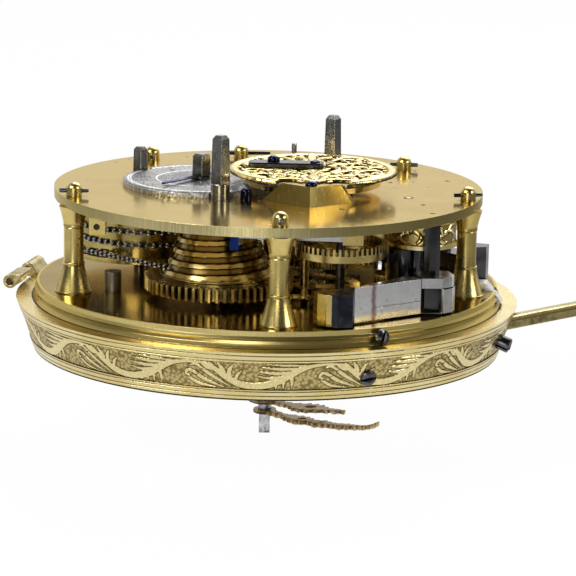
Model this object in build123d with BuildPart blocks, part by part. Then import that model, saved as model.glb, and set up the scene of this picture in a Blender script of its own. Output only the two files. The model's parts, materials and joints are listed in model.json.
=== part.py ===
from build123d import *
from math import atan2, cos, degrees, hypot, pi, radians, sin, sqrt
import os

os.makedirs("parts", exist_ok=True)

# A coach clock's movement, lying dial down, in millimetres.
# The origin is the tip of the hand-setting square, on the axis of the hands.

# Heights, from the tip of the setting square upwards
square_drop = 18.9
ring_height = 9.7
edge_height = 3.2
plate_thick = 2.4
pillar_height = 17.2
top_thick = 1.9
ring_low = square_drop
ring_top = ring_low + ring_height
plate_face = ring_top + edge_height
plate_under = plate_face - plate_thick
top_under = plate_face + pillar_height
top_face = top_under + top_thick

# Plates, ring and dial
top_radius = 43.0
ring_radius = 50.6
ring_taper = 3.35
ring_shelf = 4.2
rebate_wall = 0.95
rebate_ledge = 1.7
ring_low_radius = ring_radius - ring_taper
plate_radius = ring_radius - ring_shelf
dial_radius = ring_low_radius - rebate_wall
ring_inner = dial_radius - rebate_ledge
border_high = 2.0
border_low = 1.9
frieze_sink = 0.35
bead_height = 1.0
bead_swell = 0.45
dial_thick = 1.3
dial_seat = 1.6
dome_radius = 150.0
dome_drop = 7.6
dial_hole = 3.0

# Pillars
pillar_spots = [(-38.1, -14.5), (2.6, -40.5), (39.5, -10.8), (-24.8, 28.4), (-6.2, 32.5), (27.9, 22.4)]
pillar_waist = 1.85
pillar_foot = 3.75
pillar_head = 2.9
foot_height = 5.6
head_height = 3.7
collar_proud = 0.25
collar_height = 0.4
stem_radius = 1.55
stem_rise = 2.8
pin_radius = 0.45
pin_length = 5.8
pin_rise = 1.1
pin_bearings = [0, 90, 10, 90, 80, 175]

# Clearances
pivot_gap = 0.04
seat_gap = 0.02
free_gap = 0.3

# Axes of the arbors
centre_at = (0.0, 0.0)
fusee_at = (-9.4, -14.6)
barrel_at = (-26.4, 10.9)
third_at = (7.5, -11.5)
contrate_at = (14.4, -22.5)
balance_at = (8.8, -3.3)
regulator_at = (-13.6, 1.2)
strike_at = (12.9, 15.3)
second_at = (24.6, 7.0)
repeat_at = (30.4, -16.5)
hammer_at = (31.9, -25.0)
far_hammer_at = (36.4, 10.2)
lever_at = (27.6, -26.6)
minute_at = (-6.8, 6.8)

# Arbors and their pivots
arbor_radius = 0.9
pivot_radius = 0.5
square_side = 3.0
small_square = 2.2

# Teeth counts
great_teeth = 60
centre_leaves = 8
centre_teeth = 48
third_leaves = 6
third_teeth = 48
contrate_leaves = 6
contrate_teeth = 50
crown_leaves = 6
crown_teeth = 15
strike_teeth = 60
second_leaves = 8
second_teeth = 44
cannon_leaves = 12
minute_teeth = 36
minute_leaves = 10
hour_teeth = 40
sector_teeth = 40
repeat_leaves = 10

# Levels and thicknesses of the wheels
great_low = plate_face + 1.85
great_thick = 2.6
centre_low = plate_face + 0.25
centre_thick = 0.6
third_low = plate_face + 1.1
third_thick = 0.5
fusee_low = great_low + great_thick + 0.2
fusee_top = top_under - 2.0
fusee_wide = 11.1
fusee_slim = 7.1
fusee_turns = 5
groove_depth = 0.7
contrate_rim_low = plate_face + 10.1
contrate_rim = 1.4
contrate_tooth = 1.3
contrate_radius = 8.9
contrate_wall = 0.9
crown_height = contrate_rim_low + contrate_rim + contrate_tooth + 0.62
crown_radius = 4.3
crown_tooth = 1.5
crown_rim = 0.8
balance_low = top_face + 1.6
balance_thick = 1.0
balance_radius = 13.6
balance_rim = 1.7

# Barrels
barrel_radius = 13.4
barrel_low = plate_face + 3.1
barrel_high = top_under - 0.6
cap_thick = 1.0
chain_pitch = 1.9
chain_climb = 2.6
chain_width = 0.7
chain_leaf = 0.34
strike_radius = 11.2
strike_low = plate_face + 3.2
strike_high = top_under - 0.7
repeat_radius = 6.6
repeat_high = top_under - 0.25
repeat_tall = 5.6

# Cock, its steel bar and the regulator disc
cock_under = top_face + 3.7
cock_thick = 0.9
cock_radius = 16.9
bar_thick = 1.0
bar_width = 4.0
disc_radius = 15.8
disc_thick = 1.2


def polar(radius, angle, centre=(0.0, 0.0)):
    """A point at a radius and a bearing about a centre."""
    return (centre[0] + radius * cos(radians(angle)), centre[1] + radius * sin(radians(angle)))


def span(start, end):
    """The distance between two points."""
    return hypot(end[0] - start[0], end[1] - start[1])


def bearing(start, end):
    """The bearing from one point to another, in degrees."""
    return degrees(atan2(end[1] - start[1], end[0] - start[0]))


def keep(piece, name):
    """Label a finished piece and write it."""
    piece.part.label = name
    export_step(piece.part, f"parts/{name}.step")


def disc(centre, radius, low, high, mode=Mode.ADD):
    """An upright round bar, or a round hole."""
    with BuildSketch(Plane((centre[0], centre[1], low))) as profile:
        Circle(radius)
    extrude(profile.sketch, amount=high - low, mode=mode)


def tube(centre, outer, inner, low, high):
    """An upright tube."""
    with BuildSketch(Plane((centre[0], centre[1], low))) as profile:
        Circle(outer)
        Circle(inner, mode=Mode.SUBTRACT)
    extrude(profile.sketch, amount=high - low)


def squared(centre, side, low, high, turn=0, mode=Mode.ADD):
    """An upright square bar, or a square hole."""
    with BuildSketch(Plane((centre[0], centre[1], low))) as profile:
        Rectangle(side, side, rotation=turn)
    extrude(profile.sketch, amount=high - low, mode=mode)


def slab(points, low, high, mode=Mode.ADD):
    """A flat piece with a straight-sided outline."""
    with BuildSketch(Plane.XY.offset(low)) as profile:
        with BuildLine():
            Polyline(*points, close=True)
        make_face()
    extrude(profile.sketch, amount=high - low, mode=mode)


def turned(centre, outline):
    """A piece turned from its half outline of (radius, height) points."""
    with BuildSketch(Plane((centre[0], centre[1], 0), x_dir=(1, 0, 0), z_dir=(0, -1, 0))) as profile:
        with BuildLine():
            Polyline(*outline, close=True)
        make_face()
    revolve(profile.sketch, axis=Axis((centre[0], centre[1], 0), (0, 0, 1)))


def bar_outline(centre, direction, length, width, back=0.0):
    """The corners of a straight bar that starts a little behind a point."""
    side = direction + 90
    start = polar(-back, direction, centre)
    end = polar(length, direction, centre)
    half = width / 2
    return [
        polar(-half, side, start), polar(-half, side, end), polar(half, side, end), polar(half, side, start),
    ]


def tooth_points(teeth, root_radius, tip_radius, root_share, tip_share, first):
    """The outline of a toothed edge, four points to a tooth."""
    step = 360 / teeth
    corners = (
        (root_radius, -root_share), (tip_radius, -tip_share),
        (tip_radius, tip_share), (root_radius, root_share),
    )
    return [
        polar(radius, first + i * step + side * step / 2)
        for i in range(teeth)
        for radius, side in corners
    ]


# Tooth shapes, in modules and in shares of the pitch: rise, depth, width at root and at tip
wheel_tooth = (0.6, 1.1, 0.5, 0.15)
pinion_leaf = (0.45, 1.2, 0.35, 0.2)


def toothing(centre, teeth, module, shape, low, high, first):
    """A toothed wheel's or pinion's full blank with its teeth cut."""
    rise, depth, root_share, tip_share = shape
    pitch_radius = module * teeth / 2
    outline = tooth_points(
        teeth, pitch_radius - depth * module, pitch_radius + rise * module, root_share, tip_share, first
    )
    with BuildSketch(Plane((centre[0], centre[1], low))) as profile:
        with BuildLine():
            Polyline(*outline, close=True)
        make_face()
    extrude(profile.sketch, amount=high - low)


def crossings(centre, count, inner, outer, spoke, low, high):
    """Cut the openings between a wheel's spokes."""
    for i in range(count):
        start = i * 360 / count
        near = degrees(spoke / 2 / inner)
        far = degrees(spoke / 2 / outer)
        stop = start + 360 / count
        with BuildSketch(Plane((centre[0], centre[1], low))) as profile:
            with BuildLine():
                a = polar(inner, start + near)
                b = polar(outer, start + far)
                c = polar(outer, stop - far)
                d = polar(inner, stop - near)
                Line(a, b)
                ThreePointArc(b, polar(outer, (start + stop) / 2), c)
                Line(c, d)
                ThreePointArc(d, polar(inner, (start + stop) / 2), a)
            make_face()
        extrude(profile.sketch, amount=high - low, mode=Mode.SUBTRACT)


def module_for(start, end, teeth, leaves):
    """The module that lets two wheels mesh at their distance."""
    return 2 * span(start, end) / (teeth + leaves)


great_module = module_for(fusee_at, centre_at, great_teeth, centre_leaves)
centre_module = module_for(centre_at, third_at, centre_teeth, third_leaves)
third_module = module_for(third_at, contrate_at, third_teeth, contrate_leaves)
strike_module = module_for(strike_at, second_at, strike_teeth, second_leaves)
cannon_module = module_for(centre_at, minute_at, minute_teeth, cannon_leaves)
hour_module = module_for(centre_at, minute_at, hour_teeth, minute_leaves)
sector_module = module_for(lever_at, repeat_at, sector_teeth, repeat_leaves)


# Dial ring: tapering band with two borders, a sunk frieze and a slot for the lever
ring_slope = (ring_radius - ring_low_radius) / ring_height
frieze_low = ring_low + border_low
frieze_high = ring_top - border_high
lever_width = 3.2
lever_low = ring_low + 5.8
lever_thick = 2.4
lever_rest = 42.0
lever_swing = 20.0
slot_gap = 0.6


def ring_wall(height):
    """The ring's outer radius at a height."""
    return ring_low_radius + ring_slope * (height - ring_low)


slot_reach = 48.0
lever_slot = [
    polar(12, lever_rest - 9, lever_at),
    polar(slot_reach, lever_rest - 3.1, lever_at),
    polar(slot_reach, lever_rest + lever_swing / 2, lever_at),
    polar(slot_reach, lever_rest + lever_swing + 3.1, lever_at),
    polar(12, lever_rest + lever_swing + 9, lever_at),
]

with BuildPart() as dial_ring:
    turned(centre_at, [
        (ring_inner, ring_low + dial_seat),
        (dial_radius + seat_gap, ring_low + dial_seat),
        (dial_radius + seat_gap, ring_low),
        (ring_low_radius, ring_low),
        (ring_wall(frieze_low), frieze_low),
        (ring_wall(frieze_low) - frieze_sink, frieze_low),
        (ring_wall(frieze_high) - frieze_sink, frieze_high),
        (ring_wall(frieze_high), frieze_high),
        (ring_radius, ring_top),
        (ring_inner, ring_top),
    ])
    slab(lever_slot, lever_low - slot_gap, lever_low + lever_thick + slot_gap, mode=Mode.SUBTRACT)
keep(dial_ring, "dial_ring")

# Latch, in its notch through the plate's moulded edge
latch_bearing = -6.5
latch_width = 3.9
latch_thick = 1.5
latch_travel = 2.4
latch_nose = 3.2
latch_in = plate_radius - 8.4
latch_out = plate_radius + 1.2
latch_low = plate_face + seat_gap
notch_in = plate_radius - 5.8

# Pillar plate with its moulded edge
cove_radius = plate_radius + 0.8
cove_depth = 0.7
with BuildPart() as pillar_plate:
    with BuildSketch(Plane.XZ):
        with BuildLine():
            Polyline(
                (ring_inner - 2, ring_top),
                (ring_inner - 2, plate_under),
                (0, plate_under),
                (0, plate_face),
                (plate_radius, plate_face),
                (plate_radius, plate_face - bead_height),
                (plate_radius + bead_swell, plate_face - bead_height - bead_swell),
                (plate_radius - 0.1, plate_face - bead_height - 2 * bead_swell),
                (plate_radius, ring_top + cove_depth),
                (cove_radius, ring_top),
                close=True,
            )
        make_face()
    revolve(axis=Axis.Z)
    for spot in (fusee_at, barrel_at, third_at, contrate_at, strike_at, second_at, hammer_at, far_hammer_at):
        disc(spot, pivot_radius + pivot_gap, plate_under, plate_face, mode=Mode.SUBTRACT)
    for spot in (centre_at, repeat_at):
        disc(spot, arbor_radius + pivot_gap, plate_under, plate_face, mode=Mode.SUBTRACT)
    slab(
        bar_outline(polar(notch_in, latch_bearing), latch_bearing, 8, latch_width + 0.5),
        ring_top + 0.6, plate_face, mode=Mode.SUBTRACT,
    )
keep(pillar_plate, "pillar_plate")

# Six turned pillars, their feet on the plate and their domed stems through the top plate
foot_top = plate_face + foot_height
head_low = top_under - head_height
stem_top = top_face + stem_rise
pillar_outline = [
    (0, plate_face),
    (pillar_foot, plate_face),
    (pillar_foot - 1.0, plate_face + 0.45 * foot_height),
    (pillar_waist, foot_top),
    (pillar_waist + collar_proud, foot_top),
    (pillar_waist + collar_proud, foot_top + collar_height),
    (pillar_waist, foot_top + collar_height),
    (pillar_waist, head_low),
    (pillar_head, top_under),
    (stem_radius, top_under),
    (stem_radius, stem_top - 0.7 * stem_radius),
    (0.4 * stem_radius, stem_top),
    (0, stem_top),
]
with BuildPart() as pillars:
    for spot in pillar_spots:
        turned(spot, pillar_outline)
    for spot, pin in zip(pillar_spots, pin_bearings):
        middle = Plane((*spot, top_face + pin_rise), z_dir=(cos(radians(pin)), sin(radians(pin)), 0))
        with BuildSketch(middle):
            Circle(pin_radius + seat_gap)
        extrude(amount=2 * stem_radius, both=True, mode=Mode.SUBTRACT)
keep(pillars, "pillars")

with BuildPart() as pillar_pins:
    for spot, pin in zip(pillar_spots, pin_bearings):
        middle = Plane((*spot, top_face + pin_rise), z_dir=(cos(radians(pin)), sin(radians(pin)), 0))
        with BuildSketch(middle.offset(-pin_length / 2)):
            Circle(pin_radius)
        extrude(amount=pin_length)
keep(pillar_pins, "pillar_pins")

# Top plate
crown_bearing = bearing(balance_at, contrate_at)
crown_slot = 4.4
with BuildPart() as top_plate:
    disc(centre_at, top_radius, top_under, top_face)
    for spot in pillar_spots:
        disc(spot, stem_radius + seat_gap, top_under, top_face, mode=Mode.SUBTRACT)
    for spot in (centre_at, third_at, contrate_at, second_at, hammer_at, far_hammer_at, repeat_at):
        disc(spot, pivot_radius + pivot_gap, top_under, top_face, mode=Mode.SUBTRACT)
    for spot in (fusee_at, barrel_at, strike_at):
        disc(spot, square_side / sqrt(2) + pivot_gap, top_under, top_face, mode=Mode.SUBTRACT)
    slab(
        bar_outline(balance_at, crown_bearing, 6.4, crown_slot, back=2.4),
        top_under, top_face, mode=Mode.SUBTRACT,
    )
keep(top_plate, "top_plate")

# Domed dial, seated in the ring's rebate
dome_low = ring_low - dome_drop
dome_centre = dome_low + dome_radius
dome_bands = 5


def dome_height(radius):
    """The height of the dial's outer face at a distance from the centre."""
    return dome_centre - sqrt(dome_radius**2 - radius**2)


band_edges = [dial_hole + i * (dial_radius - dial_hole) / dome_bands for i in range(dome_bands + 1)]
with BuildPart() as dial:
    turned(centre_at, [
        *[(radius, dome_height(radius)) for radius in band_edges],
        (dial_radius, ring_low + dial_seat),
        (ring_inner, ring_low + dial_seat),
        (band_edges[2], dome_height(band_edges[2]) + dial_thick),
        (dial_hole, dome_height(dial_hole) + dial_thick),
    ])
keep(dial, "dial")

# Centre arbor with its pinion, centre wheel, cannon, setting square and minute hand
cannon_radius = 1.35
cannon_low = 4.0
hub_radius = 3.0
minute_low = 3.9
minute_thick = 0.8
pinion_low = great_low - 0.1
pinion_high = great_low + great_thick + 0.2
motion_high = plate_under - 0.5
cannon_pinion_low = motion_high - 1.3
with BuildPart() as centre_arbor:
    disc(centre_at, arbor_radius, plate_under - 0.3, top_under - 0.1)
    disc(centre_at, pivot_radius, top_under - 0.1, top_face - 0.1)
    toothing(
        centre_at, centre_leaves, great_module, pinion_leaf, pinion_low, pinion_high,
        bearing(centre_at, fusee_at) + 180 / centre_leaves,
    )
keep(centre_arbor, "centre_arbor")

with BuildPart() as centre_wheel:
    toothing(
        centre_at, centre_teeth, centre_module, wheel_tooth, centre_low, centre_low + centre_thick,
        bearing(centre_at, third_at),
    )
    disc(centre_at, arbor_radius, centre_low, centre_low + centre_thick, mode=Mode.SUBTRACT)
    crossings(centre_at, 4, 2.6, 9.6, 1.5, centre_low, centre_low + centre_thick)
keep(centre_wheel, "centre_wheel")

with BuildPart() as cannon:
    disc(centre_at, cannon_radius, cannon_low + minute_thick, plate_under - 0.3)
    squared(centre_at, small_square, 0, cannon_low + minute_thick)
    toothing(
        centre_at, cannon_leaves, cannon_module, pinion_leaf, cannon_pinion_low, motion_high,
        bearing(centre_at, minute_at) + 180 / cannon_leaves,
    )
keep(cannon, "cannon")

# Hands cut from thin domed sheets that follow the dial
minute_bearing = -51.0
minute_reach = 36.0
hour_bearing = -42.0
hour_reach = 22.0
hour_low = 6.3
hour_thick = 0.7


def domed_sheet(low, thick, reach):
    """Keep only what lies in a thin sheet that rises with the dial's dome."""
    with BuildSketch(Plane.XZ, mode=Mode.PRIVATE) as profile:
        with BuildLine():
            edge = dome_radius - sqrt(dome_radius**2 - reach**2)
            mid_rise = dome_radius - sqrt(dome_radius**2 - (reach / 2) ** 2)
            ThreePointArc((0, low), (reach / 2, low + mid_rise), (reach, low + edge))
            Line((reach, low + edge), (reach, low + edge + thick))
            ThreePointArc(
                (reach, low + edge + thick), (reach / 2, low + mid_rise + thick), (0, low + thick)
            )
            Line((0, low + thick), (0, low))
        make_face()
    revolve(profile.sketch, axis=Axis.Z, mode=Mode.INTERSECT)


def hand_points(direction, stations):
    """A hand's outline from its half widths along its length."""
    side = direction + 90
    left = [polar(half, side, polar(along, direction)) for along, half in stations]
    right = [polar(-half, side, polar(along, direction)) for along, half in reversed(stations)]
    return left + right


with BuildPart() as minute_hand:
    disc(centre_at, hub_radius, minute_low - 1, minute_low + 9)
    slab(
        hand_points(minute_bearing, [
            (2, 1.1), (6, 0.7), (9, 1.9), (12, 2.3), (15, 1.2), (18, 2.0),
            (21, 1.0), (25, 1.5), (28, 0.7), (33, 0.9), (minute_reach - 0.2, 0.2),
        ]),
        minute_low - 1, minute_low + 9,
    )
    for along, size in ((12, 1.1), (18, 0.9), (25, 0.6)):
        disc(polar(along, minute_bearing), size, minute_low - 1, minute_low + 9, mode=Mode.SUBTRACT)
    squared(centre_at, small_square + seat_gap, minute_low - 1, minute_low + 9, mode=Mode.SUBTRACT)
    domed_sheet(minute_low, minute_thick, minute_reach)
keep(minute_hand, "minute_hand")

# Hour wheel on its pipe round the cannon, and the hour hand
pipe_outer = 2.3
hour_wheel_low = cannon_pinion_low - 0.4 - 1.0
with BuildPart() as hour_wheel:
    toothing(
        centre_at, hour_teeth, hour_module, wheel_tooth, hour_wheel_low, hour_wheel_low + 1.0,
        bearing(centre_at, minute_at),
    )
    disc(centre_at, pipe_outer, hour_low, hour_wheel_low)
    disc(centre_at, cannon_radius + pivot_gap, hour_low, hour_wheel_low + 1.0, mode=Mode.SUBTRACT)
keep(hour_wheel, "hour_wheel")

with BuildPart() as hour_hand:
    disc(centre_at, hub_radius + 0.5, hour_low - 1, hour_low + 9)
    slab(
        hand_points(hour_bearing, [
            (2, 1.3), (6, 0.9), (10, 2.8), (13, 3.2), (16, 1.6), (19, 0.9), (hour_reach - 0.2, 0.2),
        ]),
        hour_low - 1, hour_low + 9,
    )
    disc(polar(12.4, hour_bearing), 1.6, hour_low - 1, hour_low + 9, mode=Mode.SUBTRACT)
    disc(centre_at, pipe_outer, hour_low - 1, hour_low + 9, mode=Mode.SUBTRACT)
    domed_sheet(hour_low, hour_thick, hour_reach)
keep(hour_hand, "hour_hand")

# Minute wheel with its pinion, on a post in the pillar plate
post_radius = 0.7
with BuildPart() as minute_wheel:
    toothing(
        minute_at, minute_teeth, cannon_module, wheel_tooth, cannon_pinion_low, motion_high,
        bearing(minute_at, centre_at),
    )
    toothing(
        minute_at, minute_leaves, hour_module, pinion_leaf, hour_wheel_low - 0.1, cannon_pinion_low,
        bearing(minute_at, centre_at) + 180 / minute_leaves,
    )
    disc(minute_at, post_radius + pivot_gap, hour_wheel_low - 0.1, motion_high, mode=Mode.SUBTRACT)
keep(minute_wheel, "minute_wheel")

with BuildPart() as minute_post:
    disc(minute_at, post_radius, hour_wheel_low - 0.6, plate_under)
    disc(minute_at, post_radius + 0.5, hour_wheel_low - 0.9, hour_wheel_low - 0.3)
keep(minute_post, "minute_post")

# Fusee: cone with a stepped groove, great wheel and arbor with its winding square
fusee_square_top = top_face + 12.7
fusee_collar = 1.9
turn_rise = (fusee_top - fusee_low) / fusee_turns
land_share = 0.3


def fusee_radius(height):
    """The cone's radius at a height, falling faster near the great wheel."""
    share = (height - fusee_low) / (fusee_top - fusee_low)
    return fusee_slim + (fusee_wide - fusee_slim) * (1 - share) ** 1.4


with BuildPart() as fusee_cone:
    outline = [(arbor_radius + 0.6, fusee_low)]
    for i in range(fusee_turns):
        low = fusee_low + i * turn_rise
        land = fusee_radius(low)
        outline += [
            (land, low),
            (land, low + land_share * turn_rise),
            (fusee_radius(low + turn_rise) - groove_depth, low + land_share * turn_rise),
            (fusee_radius(low + turn_rise) - groove_depth, low + turn_rise),
        ]
    outline += [(arbor_radius + 0.6, fusee_top)]
    turned(fusee_at, outline)
keep(fusee_cone, "fusee_cone")

with BuildPart() as great_wheel:
    toothing(
        fusee_at, great_teeth, great_module, wheel_tooth, great_low, great_low + great_thick,
        bearing(fusee_at, centre_at),
    )
    disc(fusee_at, fusee_wide + 0.6, great_low + great_thick, fusee_low)
    disc(fusee_at, arbor_radius + 0.6, great_low, fusee_low, mode=Mode.SUBTRACT)
keep(great_wheel, "great_wheel")

with BuildPart() as fusee_arbor:
    disc(fusee_at, pivot_radius, plate_under, plate_face + 0.1)
    disc(fusee_at, arbor_radius + 0.6, plate_face + 0.1, top_under - 0.05)
    disc(fusee_at, square_side / sqrt(2), top_under - 0.05, top_face + 0.1)
    disc(fusee_at, fusee_collar, top_face + 0.1, top_face + 3.2)
    squared(fusee_at, square_side, top_face + 3.2, fusee_square_top, turn=8)
    chamfer(faces().sort_by(Axis.Z)[-1].edges(), 0.3)
keep(fusee_arbor, "fusee_arbor")

# Going barrel, its cap, and its arbor with a square
barrel_square_top = top_face + 5.8
with BuildPart() as barrel_drum:
    disc(barrel_at, barrel_radius, barrel_low + cap_thick, barrel_high)
    disc(barrel_at, barrel_radius - 1.0, barrel_low + cap_thick, barrel_high - 1.0, mode=Mode.SUBTRACT)
    disc(barrel_at, 2.0 + pivot_gap, barrel_low, barrel_high, mode=Mode.SUBTRACT)
keep(barrel_drum, "barrel_drum")

with BuildPart() as barrel_cap:
    tube(barrel_at, barrel_radius + 0.6, 2.0 + pivot_gap, barrel_low, barrel_low + cap_thick)
keep(barrel_cap, "barrel_cap")

with BuildPart() as mainspring:
    tube(
        barrel_at, barrel_radius - 1.1, barrel_radius - 6.5, barrel_low + cap_thick + 0.2, barrel_high - 1.2,
    )
keep(mainspring, "mainspring")

with BuildPart() as barrel_arbor:
    disc(barrel_at, pivot_radius, plate_under, plate_face + 0.1)
    disc(barrel_at, arbor_radius + 0.3, plate_face + 0.1, barrel_low - 0.2)
    disc(barrel_at, 2.0, barrel_low - 0.2, top_under - 0.05)
    disc(barrel_at, square_side / sqrt(2), top_under - 0.05, top_face + 0.1)
    squared(barrel_at, square_side - 0.7, top_face + 0.1, barrel_square_top, turn=5)
    chamfer(faces().sort_by(Axis.Z)[-1].edges(), 0.3)
keep(barrel_arbor, "barrel_arbor")

# Chain: links wound round the barrel, a free run to the fusee, and a last wrap on the cone
chain_radius = barrel_radius + 0.1 + chain_width / 2
run_bearing = bearing(barrel_at, fusee_at)
chain_low = fusee_low + (0.5 + land_share / 2) * turn_rise
chain_start = barrel_low + cap_thick + 0.8
fusee_wrap = fusee_radius(fusee_low + turn_rise) - groove_depth + chain_width / 2 + 0.12
run_length = span(barrel_at, fusee_at)
run_tilt = degrees(atan2(chain_radius - fusee_wrap, run_length))
leave = run_bearing - 90 + run_tilt
wound_turns = 2.75
link_angle = degrees(chain_pitch / chain_radius)
wound_links = int(wound_turns * 360 / link_angle)
run_start = polar(chain_radius, leave, barrel_at)
run_end = polar(fusee_wrap, leave, fusee_at)
run_links = int(span(run_start, run_end) / chain_pitch)
fusee_links = 3
fusee_link_angle = degrees(chain_pitch / fusee_wrap)


def link_plane(spot, heading, height):
    """Where a link lies: its middle, with its length along the heading."""
    return Plane((*spot, height), x_dir=(cos(radians(heading)), sin(radians(heading)), 0))


link_planes = []
for i in range(wound_links, 0, -1):
    angle = leave - i * link_angle
    height = chain_start + chain_climb * i * link_angle / 360
    link_planes.append(link_plane(polar(chain_radius, angle, barrel_at), angle + 90, height))
for i in range(1, run_links):
    share = i / run_links
    spot = (
        run_start[0] + share * (run_end[0] - run_start[0]),
        run_start[1] + share * (run_end[1] - run_start[1]),
    )
    height = chain_start + share * (chain_low - chain_start)
    link_planes.append(link_plane(spot, bearing(run_start, run_end), height))
for i in range(fusee_links):
    angle = leave + i * fusee_link_angle
    link_planes.append(link_plane(polar(fusee_wrap, angle, fusee_at), angle + 90, chain_low))

leaf_rise = chain_leaf + 0.04
outer_leaves = [plane.offset(side * leaf_rise) for plane in link_planes[::2] for side in (-1, 1)]
inner_leaves = link_planes[1::2]
with BuildPart() as chain:
    with Locations(*outer_leaves):
        Box(1.2 * chain_pitch, chain_width, chain_leaf)
    with Locations(*inner_leaves):
        Box(1.2 * chain_pitch, chain_width, chain_leaf)
keep(chain, "chain")

# Third wheel with its pinion and arbor
with BuildPart() as third_wheel:
    toothing(
        third_at, third_teeth, third_module, wheel_tooth, third_low, third_low + third_thick,
        bearing(third_at, contrate_at),
    )
    crossings(third_at, 4, 2.4, 9.2, 1.4, third_low, third_low + third_thick)
    toothing(
        third_at, third_leaves, centre_module, pinion_leaf, centre_low - 0.15, third_low,
        bearing(third_at, centre_at) + 180 / third_leaves,
    )
    disc(third_at, pivot_radius, plate_under, centre_low - 0.15)
    disc(third_at, arbor_radius, third_low, top_under - 0.1)
    disc(third_at, pivot_radius, top_under - 0.1, top_face - 0.1)
keep(third_wheel, "third_wheel")

# Contrate wheel: upright teeth on a shallow cup, and its arbor with a pinion
contrate_top = contrate_rim_low + contrate_rim + contrate_tooth
contrate_base = contrate_rim_low + contrate_rim
contrate_inner = contrate_radius - contrate_wall
with BuildPart() as contrate_wheel:
    disc(contrate_at, contrate_radius, contrate_rim_low, contrate_base)
    disc(contrate_at, contrate_inner, contrate_rim_low + 0.8, contrate_base, mode=Mode.SUBTRACT)
    disc(contrate_at, arbor_radius, contrate_rim_low, contrate_base, mode=Mode.SUBTRACT)
    crossings(contrate_at, 4, 2.2, 6.6, 1.4, contrate_rim_low, contrate_rim_low + 0.8)
    tooth_step = 360 / contrate_teeth
    first = bearing(contrate_at, balance_at) + tooth_step / 2
    half = 0.23 * tooth_step
    with BuildSketch(Plane((*contrate_at, contrate_base))):
        with PolarLocations(0, contrate_teeth, start_angle=first):
            Polygon(
                polar(contrate_inner, -half), polar(contrate_radius, -half),
                polar(contrate_radius, half), polar(contrate_inner, half), align=None,
            )
    extrude(amount=contrate_tooth)
keep(contrate_wheel, "contrate_wheel")

with BuildPart() as contrate_arbor:
    disc(contrate_at, pivot_radius, plate_under, third_low - 0.3)
    toothing(
        contrate_at, contrate_leaves, third_module, pinion_leaf,
        third_low - 0.3, third_low + third_thick + 0.4,
        bearing(contrate_at, third_at) + 180 / contrate_leaves,
    )
    disc(contrate_at, arbor_radius, third_low + third_thick + 0.4, top_under - 0.1)
    disc(contrate_at, pivot_radius, top_under - 0.1, top_face - 0.1)
keep(contrate_arbor, "contrate_arbor")

# Crown wheel on a level arbor that points from the verge to the contrate wheel
crown_dir = (cos(radians(crown_bearing)), sin(radians(crown_bearing)), 0)
crown_side = (sin(radians(crown_bearing)), -cos(radians(crown_bearing)), 0)
mesh_middle = span(balance_at, contrate_at) - (contrate_radius + contrate_inner) / 2
verge_gap = 1.75
crown_face = verge_gap + crown_tooth


def crown_plane(along):
    """A plane across the crown wheel's arbor, this far from the verge."""
    spot = polar(along, crown_bearing, balance_at)
    return Plane((*spot, crown_height), x_dir=crown_side, z_dir=crown_dir)


with BuildPart() as crown_wheel:
    with BuildSketch(crown_plane(crown_face)):
        Circle(crown_radius)
        Circle(arbor_radius - 0.3, mode=Mode.SUBTRACT)
    extrude(amount=crown_rim)
    with BuildSketch(crown_plane(crown_face)):
        with PolarLocations(0, crown_teeth):
            Polygon(
                (crown_radius - 0.6, 0), (crown_radius, 0), polar(crown_radius, 9),
                polar(crown_radius - 0.6, 9), align=None,
            )
    extrude(amount=-crown_tooth)
keep(crown_wheel, "crown_wheel")

crown_pinion_half = 0.75
crown_module = 2 * (contrate_radius - contrate_wall / 2) / contrate_teeth
with BuildPart() as crown_arbor:
    with BuildSketch(crown_plane(crown_face - 0.6)):
        Circle(arbor_radius - 0.3)
    extrude(amount=mesh_middle - crown_pinion_half - crown_face + 0.6)
    rise, depth, root_share, tip_share = pinion_leaf
    pinion_pitch = crown_module * crown_leaves / 2
    with BuildSketch(crown_plane(mesh_middle - crown_pinion_half)):
        with BuildLine():
            Polyline(
                *tooth_points(
                    crown_leaves, pinion_pitch - depth * crown_module, pinion_pitch + rise * crown_module,
                    root_share, tip_share, 90,
                ),
                close=True,
            )
        make_face()
    extrude(amount=2 * crown_pinion_half)
    with BuildSketch(crown_plane(mesh_middle + crown_pinion_half)):
        Circle(0.3)
    extrude(amount=1.6)
keep(crown_arbor, "crown_arbor")

# Balance, verge with two pallets, and balance spring
verge_low = crown_height - crown_radius - 1.2
with BuildPart() as balance_wheel:
    disc(balance_at, balance_radius, balance_low, balance_low + balance_thick)
    disc(balance_at, 0.8, balance_low, balance_low + balance_thick, mode=Mode.SUBTRACT)
    balance_inside = balance_radius - balance_rim
    crossings(balance_at, 3, 3.0, balance_inside, 1.8, balance_low, balance_low + balance_thick)
keep(balance_wheel, "balance_wheel")

pallet_reach = 1.35
with BuildPart() as verge:
    disc(balance_at, 0.35, verge_low - 0.6, verge_low)
    disc(balance_at, 0.6, verge_low, top_face + 0.6)
    disc(balance_at, 0.8, top_face + 0.6, balance_low + balance_thick + 0.6)
    disc(balance_at, 0.35, balance_low + balance_thick + 0.6, cock_under + cock_thick - 0.05)
    for height, turn in ((crown_height - crown_radius + 0.3, 50), (crown_height + crown_radius - 0.3, -50)):
        flag = bar_outline(balance_at, crown_bearing + turn, pallet_reach, 0.5)
        slab(flag, height - 0.6, height + 0.6)
keep(verge, "verge")

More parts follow.
